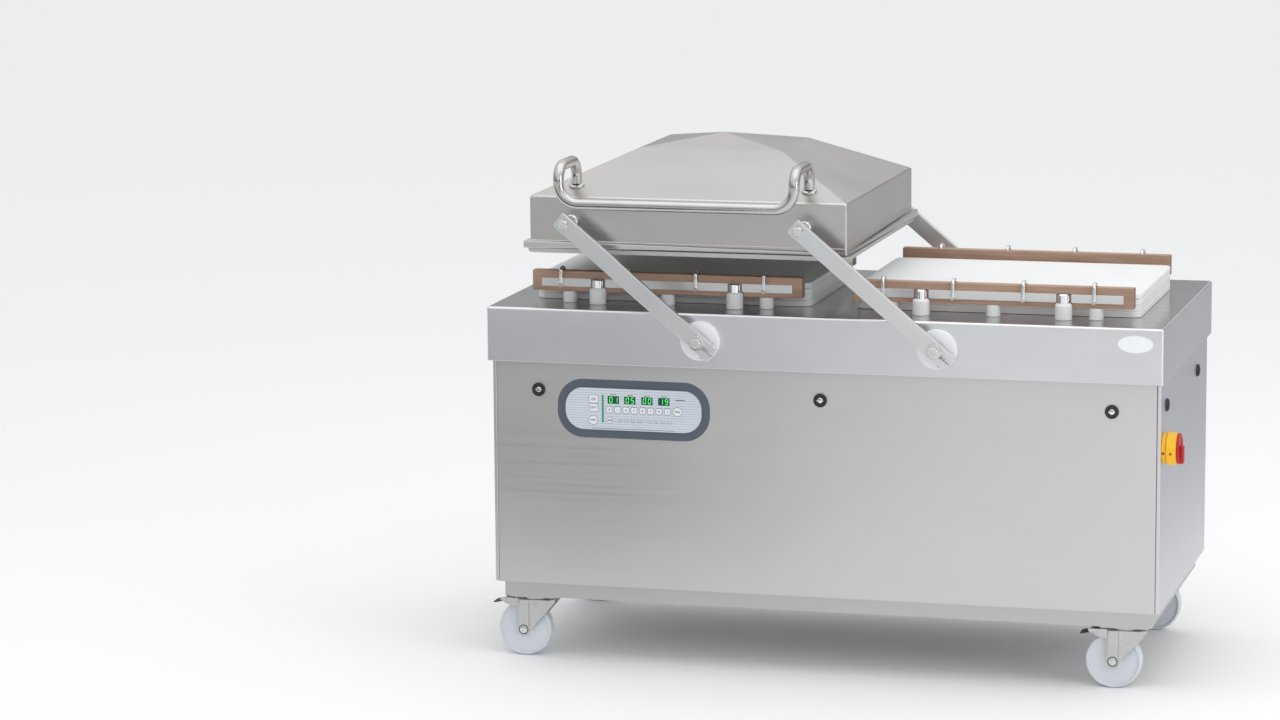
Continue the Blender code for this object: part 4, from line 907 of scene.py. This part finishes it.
# The clips: one bent wire, thickened to a rod and set in a row along the bar.
def steps_of(name, inputs):
    """A new tree with named inputs: returns it, its inputs, and the call that adds a node."""
    tree = bpy.data.node_groups.new(name, "GeometryNodeTree")
    for label, kind in inputs.items():
        tree.interface.new_socket(label, in_out="INPUT", socket_type=f"NodeSocket{kind}")
    tree.interface.new_socket("Pieces", in_out="OUTPUT", socket_type="NodeSocketGeometry")

    def add(kind, **joined):
        node = tree.nodes.new(kind)
        for key, source in joined.items():
            socket = node.inputs[key.replace("_", " ")]
            if isinstance(source, bpy.types.NodeSocket):
                tree.links.new(source, socket)
            else:
                socket.default_value = source
        return node.outputs[0] if len(node.outputs) else None

    return tree, tree.nodes.new("NodeGroupInput").outputs, add


clip_tree, given, add = steps_of("clip_row", {
    "Wire path": "Geometry", "Wire radius": "Float", "Clips": "Int", "Pitch": "Vector",
    "First clip": "Vector", "Finish": "Material"})
wire = add("GeometryNodeMeshToCurve", Mesh=given["Wire path"])
section = add("GeometryNodeCurvePrimitiveCircle", Resolution=12, Radius=given["Wire radius"])
rod = add("GeometryNodeCurveToMesh", Curve=wire, Profile_Curve=section, Fill_Caps=True)
row = add("GeometryNodeMeshLine", Count=given["Clips"], Start_Location=given["First clip"],
          Offset=given["Pitch"])
placed = add("GeometryNodeInstanceOnPoints", Points=row, Instance=rod)
solid = add("GeometryNodeRealizeInstances", Geometry=placed)
finished = add("GeometryNodeSetMaterial", Geometry=solid, Material=given["Finish"])
add("NodeGroupOutput", Pieces=finished)


def grown(name, mesh, tree, **sizes):
    """Runs a node tree on a mesh with its named inputs, and keeps the plain result."""
    seed = stand(name, mesh)
    modifier = seed.modifiers.new("steps", "NODES")
    modifier.node_group = tree
    for item in tree.interface.items_tree:
        key = item.name.replace(" ", "_")
        if item.in_out == "INPUT" and key in sizes:
            modifier[item.identifier] = sizes[key]
    return plain_result(seed)


clip_radius = 0.0047
bar_face = 0.279
tape_half = 0.313
strip_proud = 0.0024
strip_low, strip_high = 0.0103, 0.0297
clip_steel = brushed("sprung_clip_steel", 0.74, 0.2, (40.0, 40.0, 40.0), 0.03)
for stem, end, side, out, way in corners:
    node = f"{stem}_seal_bar"
    body = f"{stem}_lift"
    station_x = station_centres[side]
    finish_node(node, laminate.material)
    bar_top = bar_z + bar_height
    centre_y = middle_y + out * bar_offset
    face_y = middle_y + out * bar_face
    strip = Shape()
    for start, stop in ((-0.2925, -0.1765), (-0.1435, 0.1435), (0.1765, 0.2925)):
        near, far = sorted((face_y - out * 0.0009, face_y + out * strip_proud))
        strip.block((station_x + start, near, bar_z + strip_low),
                    (station_x + stop, far, bar_z + strip_high), 0.0005)
    near, far = sorted((face_y + out * 0.0002, face_y + out * 0.0022))
    for place in (station_x - lift_x, station_x + lift_x):
        strip.block((place - 0.018, near, bar_z + 0.0314), (place + 0.018, far, bar_z + 0.0319))
    strip.piece(f"{stem}_bar_strip", strip_aluminium, body, node)
    tape = Shape().block((station_x - tape_half, centre_y - 0.0085, bar_top + 0.00004),
                         (station_x + tape_half, centre_y + 0.0085, bar_top + 0.00018))
    tape.swept([(station_x - tape_half, centre_y, bar_top + 0.00018),
                (station_x + tape_half, centre_y, bar_top + 0.00018)],
               arc(0.0022, step=30, height=0.0002))
    tape.piece(f"{stem}_seal_tape", tape_brown.material, body, node)
    reach = face_y + out * (strip_proud + clip_radius)
    inner = centre_y - out * 0.004
    leg = [(inner, bar_top - 0.004), (inner, bar_top + 0.0005)]
    for step in range(1, 12):
        angle = math.pi * step / 12
        leg.append(((inner + reach) / 2 - out * abs(reach - inner) / 2 * math.cos(angle),
                    bar_top + 0.0005 + 0.0058 * math.sin(angle)))
    leg += [(reach, bar_top - 0.001), (reach, bar_z + 0.0185),
            (reach + out * 0.0006, bar_z + 0.016), (reach + out * 0.003, bar_z + 0.0138),
            (reach + out * 0.0052, bar_z + 0.0134)]
    path = bpy.data.meshes.new("wire_path")
    path.from_pydata([(station_x, y, z) for y, z in leg],
                     [(step, step + 1) for step in range(len(leg) - 1)], [])
    clips = grown("spring_clips", path, clip_tree, Wire_radius=clip_radius, Clips=4,
                  Pitch=(clip_pitch, 0.0, 0.0), First_clip=(clip_start[end], 0.0, 0.0),
                  Finish=clip_steel)
    new_piece(f"{stem}_spring_clips", clips, clip_steel, body, node)

# ------------------------------------------------------------------ plugs and sticker
# Domed rubber plugs close the service holes of the right cover. A blank oval foil is
# stuck to the skirt at the front right.
black_rubber = moulded("black_rubber", (0.018, 0.018, 0.02), 0.5, 0.1, 600.0, 0.1)
right_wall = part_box("right_side_panel")[1].x
plugs = Shape()
plug_height = 0.638
for place_y in (-0.262, 0.208):
    plugs.turned([(0.0, 0.0068), (0.005, 0.0067), (0.0095, 0.0062), (0.0122, 0.0052),
                  (0.0136, 0.0036), (0.014, 0.0016), (0.0149, 0.0008), (0.0149, 0.0),
                  (0.0, 0.0)],
                 facing((right_wall + 0.0001, place_y, plug_height), (1, 0, 0)), 40)
plugs.piece("side_plugs", black_rubber, "cabinet", "middle_panel_lock")

foil_white = Finish("white_foil", (0.86, 0.88, 0.9), 0.25, 0.0, 0.3)
foil_cloud = foil_white.noise(30.0, detail=2.0)
foil_white.tint(foil_cloud, (0.83, 0.85, 0.88), (0.89, 0.91, 0.93))
foil_white.feed("Roughness", foil_cloud * 0.12 + 0.2)
sticker_x, sticker_height = 0.695, 0.785
sticker_place = Matrix.Translation((sticker_x, table_low.y, sticker_height)) @ upright
sticker = Shape().plate(arc(0.039, step=6, height=0.019), 0.00004, 0.0003, 0.0001, 1,
                        sticker_place)
sticker.piece("oval_sticker", foil_white.material, "cabinet", "table_top")

# ------------------------------------------------------------------ panel locks
# Quarter-turn locks: a black moulded head with a chromed double-bit insert, and a steel
# cam behind the sheet, drawn here in the head's black plastic.
black_plastic = moulded("black_moulded_plastic", (0.022, 0.023, 0.026), 0.34, 0.1, 900.0, 0.08)
front_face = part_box("front_panel")[0].y
for place in ("left", "middle", "right"):
    node = f"{place}_panel_lock"
    low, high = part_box(node)
    centre = Vector(((low.x + high.x) / 2, front_face, low.z + 0.0155))
    axis = facing(centre, (0, -1, 0))
    head = Shape().turned(
        [(0.0, 0.0018), (0.009, 0.0018), (0.0094, 0.0026), (0.0104, 0.0046),
         (0.0112, 0.005), (0.0138, 0.005), (0.015, 0.0043), (0.0155, 0.0032),
         (0.0155, 0.0006), (0.015, 0.0003), (0.01, 0.0003), (0.01, -0.006),
         (0.0, -0.006)], axis, 56)
    head.block(centre + Vector((-0.007, 0.005, -0.006)),
               (centre.x + 0.007, centre.y + 0.008, high.z), 0.0006)
    body = f"{place}_lock"
    head.piece(f"{place}_lock_head", black_plastic, body, node, True)
    insert = Shape().turned([(0.0, 0.004), (0.0045, 0.004), (0.0062, 0.0033),
                             (0.007, 0.0019), (0.0, 0.0019)], axis, 32)
    insert.block((-0.0078, -0.0017, 0.0019), (0.0078, 0.0017, 0.0043), 0.0005, 2, axis)
    insert.piece(f"{place}_lock_insert", chrome.material, body, node)

# ------------------------------------------------------------------ control bezel
# A moulded slate-grey ring with a crowned section, clipped to the front panel round its
# opening.
bezel_low, bezel_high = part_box("control_bezel")
bezel_centre = (bezel_low + bezel_high) / 2
bezel_height = bezel_high.z - bezel_low.z
ring_width = 0.019
ring_depth = bezel_high.y - bezel_low.y
slate = moulded("slate_grey_plastic", (0.092, 0.112, 0.142), 0.42, 0.06, 1100.0, 0.14)
ring_path = [(x, bezel_high.y, z) for x, z in moved(rounded_outline(
    bezel_high.x - bezel_low.x - ring_width, bezel_height - ring_width,
    bezel_height * 0.45 - ring_width / 2, 16), bezel_centre.x, bezel_centre.z)]
half = ring_width / 2
crown = [(depth * ring_depth, across * half) for depth, across in (
    (0.78, 0.78), (0.93, 0.55), (1, 0.2), (1, -0.3), (0.93, -0.62), (0.72, -0.88),
    (0.45, -0.985))]
bezel = Shape().swept(ring_path, [(0.0, half), (0.0045, half), *crown, (0.0004, -half),
                                  (0.0, -half)], True)
bezel.piece("control_ring", slate, "cabinet", "control_bezel", True)

# ------------------------------------------------------------------ keypad
# A printed polyester foil with embossed keys over switch domes. Four windows show green
# seven-bar digits; the pictures over the lower keys are plain generic signs.
pad_low, pad_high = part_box("keypad_panel")
pad_place = Matrix.Translation((bezel_centre.x, pad_low.y, bezel_centre.z)) @ upright
foil = Finish("striped_keypad_foil", (0.6, 0.66, 0.73), 0.36, 0.0, 0.15)
foil_z = foil.node("ShaderNodeSeparateXYZ", output=2, Vector=foil.place())
stripe = foil.node("ShaderNodeMath", {"operation": "SINE"}, _0=foil_z * (math.tau / 0.0058))
soft = foil.noise(16.0, detail=2.0)
foil.tint((stripe.over(0.72) * 0.7 + soft * 0.3).limited(), (0.66, 0.71, 0.78),
          (0.4, 0.44, 0.5))
foil.feed("Roughness", soft * 0.16 + 0.28)
pad_outline = rounded_outline(pad_high.x - pad_low.x, pad_high.z - pad_low.z,
                              (pad_high.z - pad_low.z) * 0.45, 16)
pad = Shape().plate(pad_outline, pad_low.y - pad_high.y, 0.0, 0.0002, 1, pad_place)
pad.piece("keypad_foil", foil.material, "cabinet", "keypad_panel", True)


def printed(name, colour, roughness=0.4, glow=0.0):
    """Printing ink, slightly uneven, which may be lit from behind."""
    ink = Finish(name, colour, roughness, 0.0, 0.1)
    dots = ink.noise(900.0, detail=1.0)
    ink.tint(dots * 0.6 + 0.2, tuple(tone * 0.88 for tone in colour),
             tuple(min(1.0, tone * 1.08) for tone in colour))
    ink.feed("Roughness", dots * 0.1 + roughness - 0.05)
    if glow:
        ink.shader.inputs["Emission Color"].default_value = (*colour, 1.0)
        ink.shader.inputs["Emission Strength"].default_value = glow
    return ink.material


key_white = printed("key_white_print", (0.8, 0.83, 0.87))
ink_grey = printed("ink_grey_print", (0.1, 0.115, 0.14))
window_green = printed("window_green", (0.004, 0.085, 0.045), 0.18)
digit_green = printed("digit_green", (0.1, 0.86, 0.16), 0.35, 0.9)
bar_green = printed("bar_green_print", (0.015, 0.27, 0.2))

keys, rims, marks, bar, windows, digits = (Shape() for layer in range(6))
on_foil = (0.00003, 0.00012)
on_key = (0.00045, 0.00062)


def key(x, z, length, height, radius):
    """An embossed key with a thin printed rim."""
    rim = 0.0009
    rims.plate(moved(rounded_outline(length + 2 * rim, height + 2 * rim, radius + rim, 6), x, z),
               0.00003, 0.0001, 0.0, 1, pad_place)
    keys.plate(moved(rounded_outline(length, height, radius, 6), x, z), 0.00008, 0.0005, 0.0002,
               1, pad_place)


def stroke(shape, x0, z0, x1, z1, width, layer=on_key):
    """One straight printed line, between two heights over the foil."""
    turn = Matrix.Rotation(math.atan2(z1 - z0, x1 - x0), 4, "Z")
    where = pad_place @ Matrix.Translation(((x0 + x1) / 2, (z0 + z1) / 2, 0)) @ turn
    reach = (math.hypot(x1 - x0, z1 - z0) + width) / 2
    shape.block((-reach, -width / 2, layer[0]), (reach, width / 2, layer[1]), 0.0, 1, where)


def letters(word, x, z, height):
    """Plain capitals made of straight strokes."""
    width = height * 0.62
    lines = {"O": ((0, 0, 0, 1), (0, 1, 1, 1), (1, 1, 1, 0), (1, 0, 0, 0)),
             "N": ((0, 0, 0, 1), (0, 1, 1, 0), (1, 0, 1, 1)),
             "F": ((0, 0, 0, 1), (0, 1, 1, 1), (0, 0.5, 0.8, 0.5))}
    left = x - width * 0.8 * (len(word) - 1) - width / 2
    for letter in word:
        for x0, z0, x1, z1 in lines[letter]:
            stroke(marks, left + x0 * width, z + (z0 - 0.5) * height, left + x1 * width,
                   z + (z1 - 0.5) * height, height * 0.16, (0.00045, 0.00063))
        left += width * 1.6


for word, z in (("ON", 0.0224), ("OFF", 0.0031)):
    key(-0.0925, z, 0.02, 0.0175, 0.003)
    letters(word, -0.0925, z, 0.0052)
for x, z, radius in ((-0.0937, -0.0256, 0.01), (0.1038, 0.0, 0.01),
                     (-0.0549, -0.0249, 0.0066)):
    key(x, z, 2 * radius, 2 * radius, radius * 0.98)
    for side in (-0.42, -0.14, 0.14, 0.42):
        stroke(marks, x + side * radius - 0.0008, z, x + side * radius + 0.0008, z, 0.0022)
for step, x in enumerate((-0.0556, -0.0364, -0.0167, 0.0022, 0.0219, 0.0411, 0.0603, 0.0804)):
    key(x, -0.0008, 0.0136, 0.0136, 0.0028)
    stroke(marks, x - 0.0019, -0.0008, x + 0.0019, -0.0008, 0.0012)
    if step % 2 == 0:
        stroke(marks, x, -0.0027, x, 0.0011, 0.0012)
for x in (-0.0303, -0.0155, -0.0007, 0.0153, 0.0386, 0.0534, 0.0686, 0.0841):
    for x0, z0, x1, z1 in ((-4, -3, 4, -3), (4, -3, 4, 3), (-4, -3, -4, 3), (-4, 3, -1, 3),
                           (0, -0.5, 2, -0.5)):
        stroke(marks, x + x0 / 1000, z0 / 1000 - 0.025, x + x1 / 1000, z1 / 1000 - 0.025,
               0.0006, on_foil)
for x0, x1, z, width in (
        (-0.0522, -0.0402, 0.0335, 0.0014), (-0.0136, -0.0016, 0.0335, 0.0014),
        (0.0265, 0.0385, 0.0335, 0.0014), (0.0658, 0.0778, 0.0335, 0.0014),
        (0.1, 0.12, 0.0265, 0.002), (-0.098, 0.095, -0.044, 0.0009)):
    stroke(marks, x0, z, x1, z, width, on_foil)
stroke(bar, -0.0711, -0.0283, -0.0711, 0.0303, 0.0042, (0.00003, 0.00014))

# Each digit is made of up to seven bars between six points.
bars = ((0, 2, 1, 2), (1, 2, 1, 1), (1, 1, 1, 0), (1, 0, 0, 0), (0, 0, 0, 1), (0, 1, 0, 2),
        (0, 1, 1, 1))
bars_of = {"0": (0, 1, 2, 3, 4, 5), "1": (1, 2), "5": (0, 5, 6, 2, 3), "9": (0, 1, 5, 6, 2, 3)}
bar_length, bar_slant, bar_gap = 0.0058, 0.0004, 0.0011
for x, shown in ((-0.0462, "01"), (-0.0076, "05"), (0.0325, "00"), (0.0718, "19")):
    windows.plate(moved(rounded_outline(0.0265, 0.0172, 0.001, 3), x, 0.0219), 0.00003, 0.0002,
                  0.00005, 1, pad_place)
    for digit, left in zip(shown, (-0.009, 0.0028)):
        for number in bars_of[digit]:
            x0, z0, x1, z1 = bars[number]
            start = Vector((x0 * bar_length + z0 * bar_slant, z0 * bar_length))
            end = Vector((x1 * bar_length + z1 * bar_slant, z1 * bar_length))
            ease = (end - start).normalized() * bar_gap
            corner = Vector((x + left, 0.0161))
            stroke(digits, *(corner + start + ease), *(corner + end - ease), 0.00125,
                   (0.00018, 0.00026))
for layer, name, ink in ((keys, "keys", key_white), (rims, "key_rims", ink_grey),
                         (marks, "marks", ink_grey), (bar, "green_bar", bar_green),
                         (windows, "windows", window_green), (digits, "digits", digit_green)):
    layer.piece(f"keypad_{name}", ink, "cabinet", "keypad_panel")

# ------------------------------------------------------------------ main switch
# Yellow isolator housing screwed to the right cover, and its red turning handle, which
# can be locked through the holes.
switch_yellow = moulded("yellow_switch_plastic", (0.9, 0.5, 0.012), 0.32, 0.05, 800.0, 0.06)
switch_red = moulded("red_switch_plastic", (0.5, 0.012, 0.018), 0.3, 0.06, 800.0, 0.06)
body_low, body_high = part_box("switch_body")
knob_low, knob_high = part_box("switch_knob")
switch_axis = facing((right_wall, (body_low.y + body_high.y) / 2,
                      (body_low.z + body_high.z) / 2), (1, 0, 0))
switch_front = body_high.x - right_wall
housing = Shape().turned(
    [(0.0, switch_front), (0.0336, switch_front), (0.0349, switch_front - 0.0012),
     (0.0377, 0.014), (0.038, 0.0122), (0.0371, 0.0108), (0.033, 0.0104),
     (0.033, 0.0086), (0.0344, 0.0083), (0.0348, 0.0075), (0.0348, 0.001),
     (0.0342, 0.0003), (0.01, 0.0003), (0.01, -0.0078), (0.0, -0.0078)],
    switch_axis, 72)
housing.piece("switch_housing", switch_yellow, "cabinet", "switch_body", True)
holes = Shape()
for turn, height, radius in ((100, 0.0042, 0.0347), (100, 0.02, 0.0366),
                             (260, 0.0042, 0.0347), (260, 0.02, 0.0366)):
    way = Vector((0, -math.sin(math.radians(turn)), math.cos(math.radians(turn))))
    holes.turned([(0.0, 0.0004), (0.003, 0.0004), (0.0034, 0.0), (0.0034, -0.001),
                  (0.0, -0.001)],
                 facing(switch_axis.translation + Vector((height, 0, 0)) + way * radius, way),
                 20)
holes.piece("switch_lock_holes", switch_red, "cabinet", "switch_knob")
knob_base = knob_low.x - right_wall
knob = Shape().turned(
    [(0.0, knob_base + 0.0036), (0.0255, knob_base + 0.0036), (0.0268, knob_base + 0.0042),
     (0.0285, knob_base + 0.0064), (0.0322, knob_base + 0.0066), (0.0338, knob_base + 0.0058),
     (0.0345, knob_base + 0.004), (0.0345, knob_base + 0.0006), (0.034, knob_base),
     (0.0, knob_base)], switch_axis, 72)
knob.block((knob_base + 0.002, -0.0098, -0.0325), (knob_high.x - right_wall, 0.0098, 0.0066),
           0.003, 4, Matrix.Translation(switch_axis.translation))
knob.piece("switch_handle", switch_red, "switch_knob", "switch_knob", True)

# ------------------------------------------------------------------ casters
# Swivel casters: pressed zinc-plated forks with a raised rib down to the axle bolt, white
# nylon wheels with a lipped rim, and a dark foot pedal on each front one.
zinc = Finish("zinc_plated_fork", (0.62, 0.62, 0.61), 0.34, 1.0)
zinc_flake = zinc.node("ShaderNodeTexVoronoi", Vector=zinc.place(), Scale=130.0)
zinc_cloud = zinc.noise(26.0, detail=4.0)
zinc.tint((zinc_flake * 0.3 + zinc_cloud * 0.7).limited(), (0.5, 0.5, 0.49),
          (0.7, 0.7, 0.69))
zinc.feed("Roughness", (zinc_cloud - 0.5) * 0.3 + 0.36)
zinc.relief(zinc_cloud, 0.1, 0.0004)
nylon = moulded("white_nylon_wheel", (0.7, 0.73, 0.78), 0.38, 0.03, 300.0, 0.1,
                see_through=0.06)
# The pedal's near-black colour is painted shade, standing in for the shade it sits in under the
# plinth.
pedal_shade_dark = moulded("blackened_pedal_steel", (0.045, 0.045, 0.048), 0.42, 0.12, 400.0, 0.12)
wheel_radius = 0.0625
fork_sheet = 0.003
cheek_face = 0.024
trail = 0.026
cheek_radius, rib_radius = 0.0155, 0.0128
bolt_reach = 0.0272
tread_width, tread_slope = 0.0404, math.radians(12)


def eased(points, radius, steps=5):
    """Rounds the corners of an outline."""
    result = []
    for place, here in enumerate(points):
        before = Vector(points[place - 1]) - Vector(here)
        after = Vector(points[(place + 1) % len(points)]) - Vector(here)
        turn = before.angle(after)
        reach = min(radius / math.tan(turn / 2), before.length * 0.45, after.length * 0.45)
        if turn > math.radians(165) or reach < 1e-5:
            result.append(tuple(here))
            continue
        start = Vector(here) + before.normalized() * reach
        end = Vector(here) + after.normalized() * reach
        for step in range(steps + 1):
            share = step / steps
            result.append(tuple(start * (1 - share) ** 2 + Vector(here) * 2 * share * (1 - share)
                                + end * share ** 2))
    return result


for stem, end, side, out, way in corners:
    fork_low, fork_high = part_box(f"{stem}_caster_fork")
    wheel_low, wheel_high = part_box(f"{stem}_caster_wheel")
    swivel_x = fork_low.x + 0.082
    mid_y = (wheel_low.y + wheel_high.y) / 2
    axle = Vector((swivel_x - trail, mid_y, (wheel_low.z + wheel_high.z) / 2))
    top = fork_high.z
    fork = Shape()
    head = moved(rounded_outline(0.094, 2 * cheek_face, 0.01, 6), swivel_x, mid_y)
    fork.plate(head, top - fork_sheet, top, 0.0007, 2)
    cheek = [(swivel_x + 0.049, top), (swivel_x - 0.082, top),
             (swivel_x - 0.082, top - 0.006), (axle.x - 0.032, top - 0.0188),
             (axle.x - cheek_radius, top - 0.02),
             *moved(arc(cheek_radius, 180, 351, 10), axle.x, axle.z),
             (swivel_x + 0.049, top - 0.0065)]
    rib = [(axle.x - rib_radius, top - 0.0015), (axle.x - rib_radius, axle.z),
           *moved(arc(rib_radius, 190, 351, 10), axle.x, axle.z), (axle.x + rib_radius, axle.z),
           (axle.x + rib_radius, top - 0.0015)]
    for face in (-1, 1):
        plane = Matrix.Translation((0, mid_y, 0)) @ upright
        low, high = sorted((face * (cheek_face - fork_sheet), face * cheek_face))
        fork.plate(eased(cheek, 0.004), low, high, 0.0006, 2, plane)
        low, high = sorted((face * (cheek_face - 0.0006), face * (cheek_face + 0.0027)))
        fork.plate(rib, low, high, 0.0019, 4, plane)
        for x, raised, z in ((swivel_x - 0.07, 0.0, top - 0.01),
                             (axle.x - 0.008, 0.0027, top - 0.007)):
            fork.turned([(0.0, 0.001), (0.0018, 0.001), (0.0026, 0.0004), (0.0028, 0.0),
                         (0.0, 0.0)],
                        facing((x, mid_y - face * (cheek_face + raised), z), (0, -face, 0)), 20)
    fork.piece(f"{stem}_fork", zinc.material, f"{stem}_fork", f"{stem}_caster_fork", True)
    bolt = Shape().turned([(0.0, bolt_reach), (0.006, bolt_reach), (0.006, -bolt_reach),
                           (0.0, -bolt_reach)], facing(axle, (0, -1, 0)), 24)
    for face in (-1, 1):
        bolt_head(bolt, axle + Vector((0, face * 0.0271, 0)), (0, face, 0), 0.0074, 0.003,
                  0.42)
    bolt.piece(f"{stem}_axle_bolt", bright_steel, f"{stem}_fork", f"{stem}_caster_fork")
    washers = Shape()
    for face in (-1, 1):
        washers.turned([(0.0, 0.0), (0.0, 0.0005), (0.0112, 0.0005), (0.0114, 0.0)],
                       facing(axle + Vector((0, face * 0.0266, 0)), (0, face, 0)), 32)
    washers.piece(f"{stem}_dust_washers", black_rubber, f"{stem}_fork", f"{stem}_caster_fork")
    hub = (wheel_high.y - wheel_low.y) / 2
    side_face = 0.017
    profile = [(0.0063, hub), (0.014, hub), (0.015, hub - 0.0008),
                    (0.0162, side_face - 0.0032), (0.0185, side_face - 0.0048),
                    (0.0548, side_face - 0.0044), (0.0562, side_face - 0.0036),
                    (0.057, side_face - 0.0008), (0.0577, side_face), (0.0594, side_face),
                    (0.0609, side_face - 0.0012), (0.0619, side_face - 0.0034),
                    (wheel_radius, side_face - 0.0066), (wheel_radius, side_face - 0.011)]
    wheel = Shape().turned(profile + [(radius, -across) for radius, across
                                      in reversed(profile)], facing(axle, (0, -1, 0)), 96)
    wheel.piece(f"{stem}_wheel", nylon, f"{stem}_wheel", f"{stem}_caster_wheel", True)
    if end == "rear":
        continue
    hinge = Matrix.Translation((swivel_x - 0.06, mid_y, top - 0.0045)) @ Matrix.Rotation(
        -tread_slope, 4, "Y")
    reach = 0.041 / math.cos(tread_slope)
    pedal = Shape()
    tread = moved(rounded_outline(reach, tread_width, 0.006, 6), -reach / 2, 0)
    pedal.plate(tread, -0.0015, 0.001, 0.0006, 2, hinge)
    pedal.turned([(0.0, 0.0202), (0.0029, 0.0202), (0.0035, 0.0196), (0.0035, -0.0196),
                  (0.0029, -0.0202), (0.0, -0.0202)], hinge @ facing((0, 0, 0), (0, 1, 0)), 24)
    pedal.turned([(0.0, 0.0235), (0.0019, 0.0235), (0.0019, -0.0235), (0.0, -0.0235)],
                 hinge @ facing((0, 0, 0), (0, 1, 0)), 16)
    for step in range(5):
        pedal.block((-reach + 0.004 + step * 0.0045, -0.016, 0.0006),
                    (-reach + 0.0062 + step * 0.0045, 0.016, 0.0015), 0.0004, 1, hinge)
    pedal.piece(f"{stem}_foot_pedal", pedal_shade_dark, f"{stem}_pedal", f"{stem}_brake_pedal", True)

# ------------------------------------------------------------------ rear cover fittings
# The rear cover is held by pan-head screws round its edge. A pressed hood stands over each
# of its air slots, which let the pump's warm air out.
field_tree, given, add = steps_of("fitting_field", {
    "Fitting": "Geometry", "Across": "Int", "Step across": "Vector", "Rows": "Int",
    "Step up": "Vector", "Finish": "Material"})
across = add("GeometryNodeMeshLine", Count=given["Across"], Offset=given["Step across"])
one_row = add("GeometryNodeInstanceOnPoints", Points=across, Instance=given["Fitting"])
row_solid = add("GeometryNodeRealizeInstances", Geometry=one_row)
upward = add("GeometryNodeMeshLine", Count=given["Rows"], Offset=given["Step up"])
all_rows = add("GeometryNodeInstanceOnPoints", Points=upward, Instance=row_solid)
field_solid = add("GeometryNodeRealizeInstances", Geometry=all_rows)
field_finish = add("GeometryNodeSetMaterial", Geometry=field_solid, Material=given["Finish"])
add("NodeGroupOutput", Pieces=field_finish)

rear_low, rear_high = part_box("rear_panel")
screw_inset = 0.012
screw_low = rear_low.z + screw_inset
screw_high = table_low.z - 0.014
screw_count = 7
screw = Shape().turned(
    [(0.0, 0.0008), (0.0016, 0.0008), (0.0018, 0.0017), (0.003, 0.0017), (0.004, 0.0011),
     (0.0043, 0.0), (0.0, 0.0)],
    facing((rear_low.x + screw_inset, rear_high.y + 0.0001, screw_low), (0, 1, 0)), 20)
screws = grown("rear_screws", screw.mesh("screw"), field_tree, Across=screw_count,
               Step_across=((rear_high.x - rear_low.x - 2 * screw_inset) / (screw_count - 1),
                            0.0, 0.0),
               Rows=2, Step_up=(0.0, 0.0, screw_high - screw_low), Finish=bright_steel)
new_piece("rear_cover_screws", screws, bright_steel, "cabinet", "rear_panel")

slot_length = 0.18
slot_rows = 6
slot_rise = 0.022
slot_low = rear_low.z + 0.12
louvre_length = slot_length + 0.008
louvre_lip = 0.001
louvre_height = 0.0125
louvre_swell = ((0.0, 0.04), (0.002, 0.42), (0.005, 0.72), (0.009, 0.9), (0.014, 1.0))
for name, slot_x in (("right", middle_x - 0.42), ("left", middle_x + 0.42)):
    hood = bmesh.new()
    rings = []
    for along, swell in [*louvre_swell, *((louvre_length - run, out)
                                          for run, out in reversed(louvre_swell))]:
        ring = [(0.0, 0.0)] + [
            (0.0056 * swell * math.cos(math.radians(turn)),
             louvre_height * (0.35 + 0.65 * swell) * math.sin(math.radians(turn)))
            for turn in (0, 15, 30, 45, 60, 75, 90)]
        rings.append([hood.verts.new((slot_x - louvre_length / 2 + along,
                                      rear_high.y + 0.0001 + out, slot_low - louvre_lip + up))
                      for out, up in ring])
    for one, two in zip(rings, rings[1:]):
        for step in range(len(one)):
            after = (step + 1) % len(one)
            hood.faces.new((one[step], one[after], two[after], two[step]))
    hood.faces.new(rings[0])
    hood.faces.new(list(reversed(rings[-1])))
    bmesh.ops.recalc_face_normals(hood, faces=hood.faces)
    louvres = grown("louvres", Shape().add(hood).mesh("louvre"), field_tree, Across=1,
                    Step_across=(0.0, 0.0, 0.0), Rows=slot_rows,
                    Step_up=(0.0, 0.0, slot_rise), Finish=cover_steel)
    new_piece(f"{name}_louvres", louvres, cover_steel, "cabinet", "rear_panel")

# ------------------------------------------------------------------ inside the cabinet
# Oil-sealed rotary pump in cast aluminium with a painted motor, the sealing transformer's
# varnished core, and the folded control box.
pump_paint = moulded("pump_grey_enamel", (0.2, 0.25, 0.3), 0.38, 0.08, 260.0, 0.25)
core_varnish = moulded("varnished_core", (0.14, 0.09, 0.05), 0.35, 0.15, 500.0, 0.2, 0.2)
box_paint = moulded("control_box_paint", (0.55, 0.56, 0.57), 0.45, 0.05, 420.0, 0.25)
finish_node("vacuum_pump", pump_paint)
finish_node("sealing_transformer", core_varnish)
finish_node("control_box", box_paint)
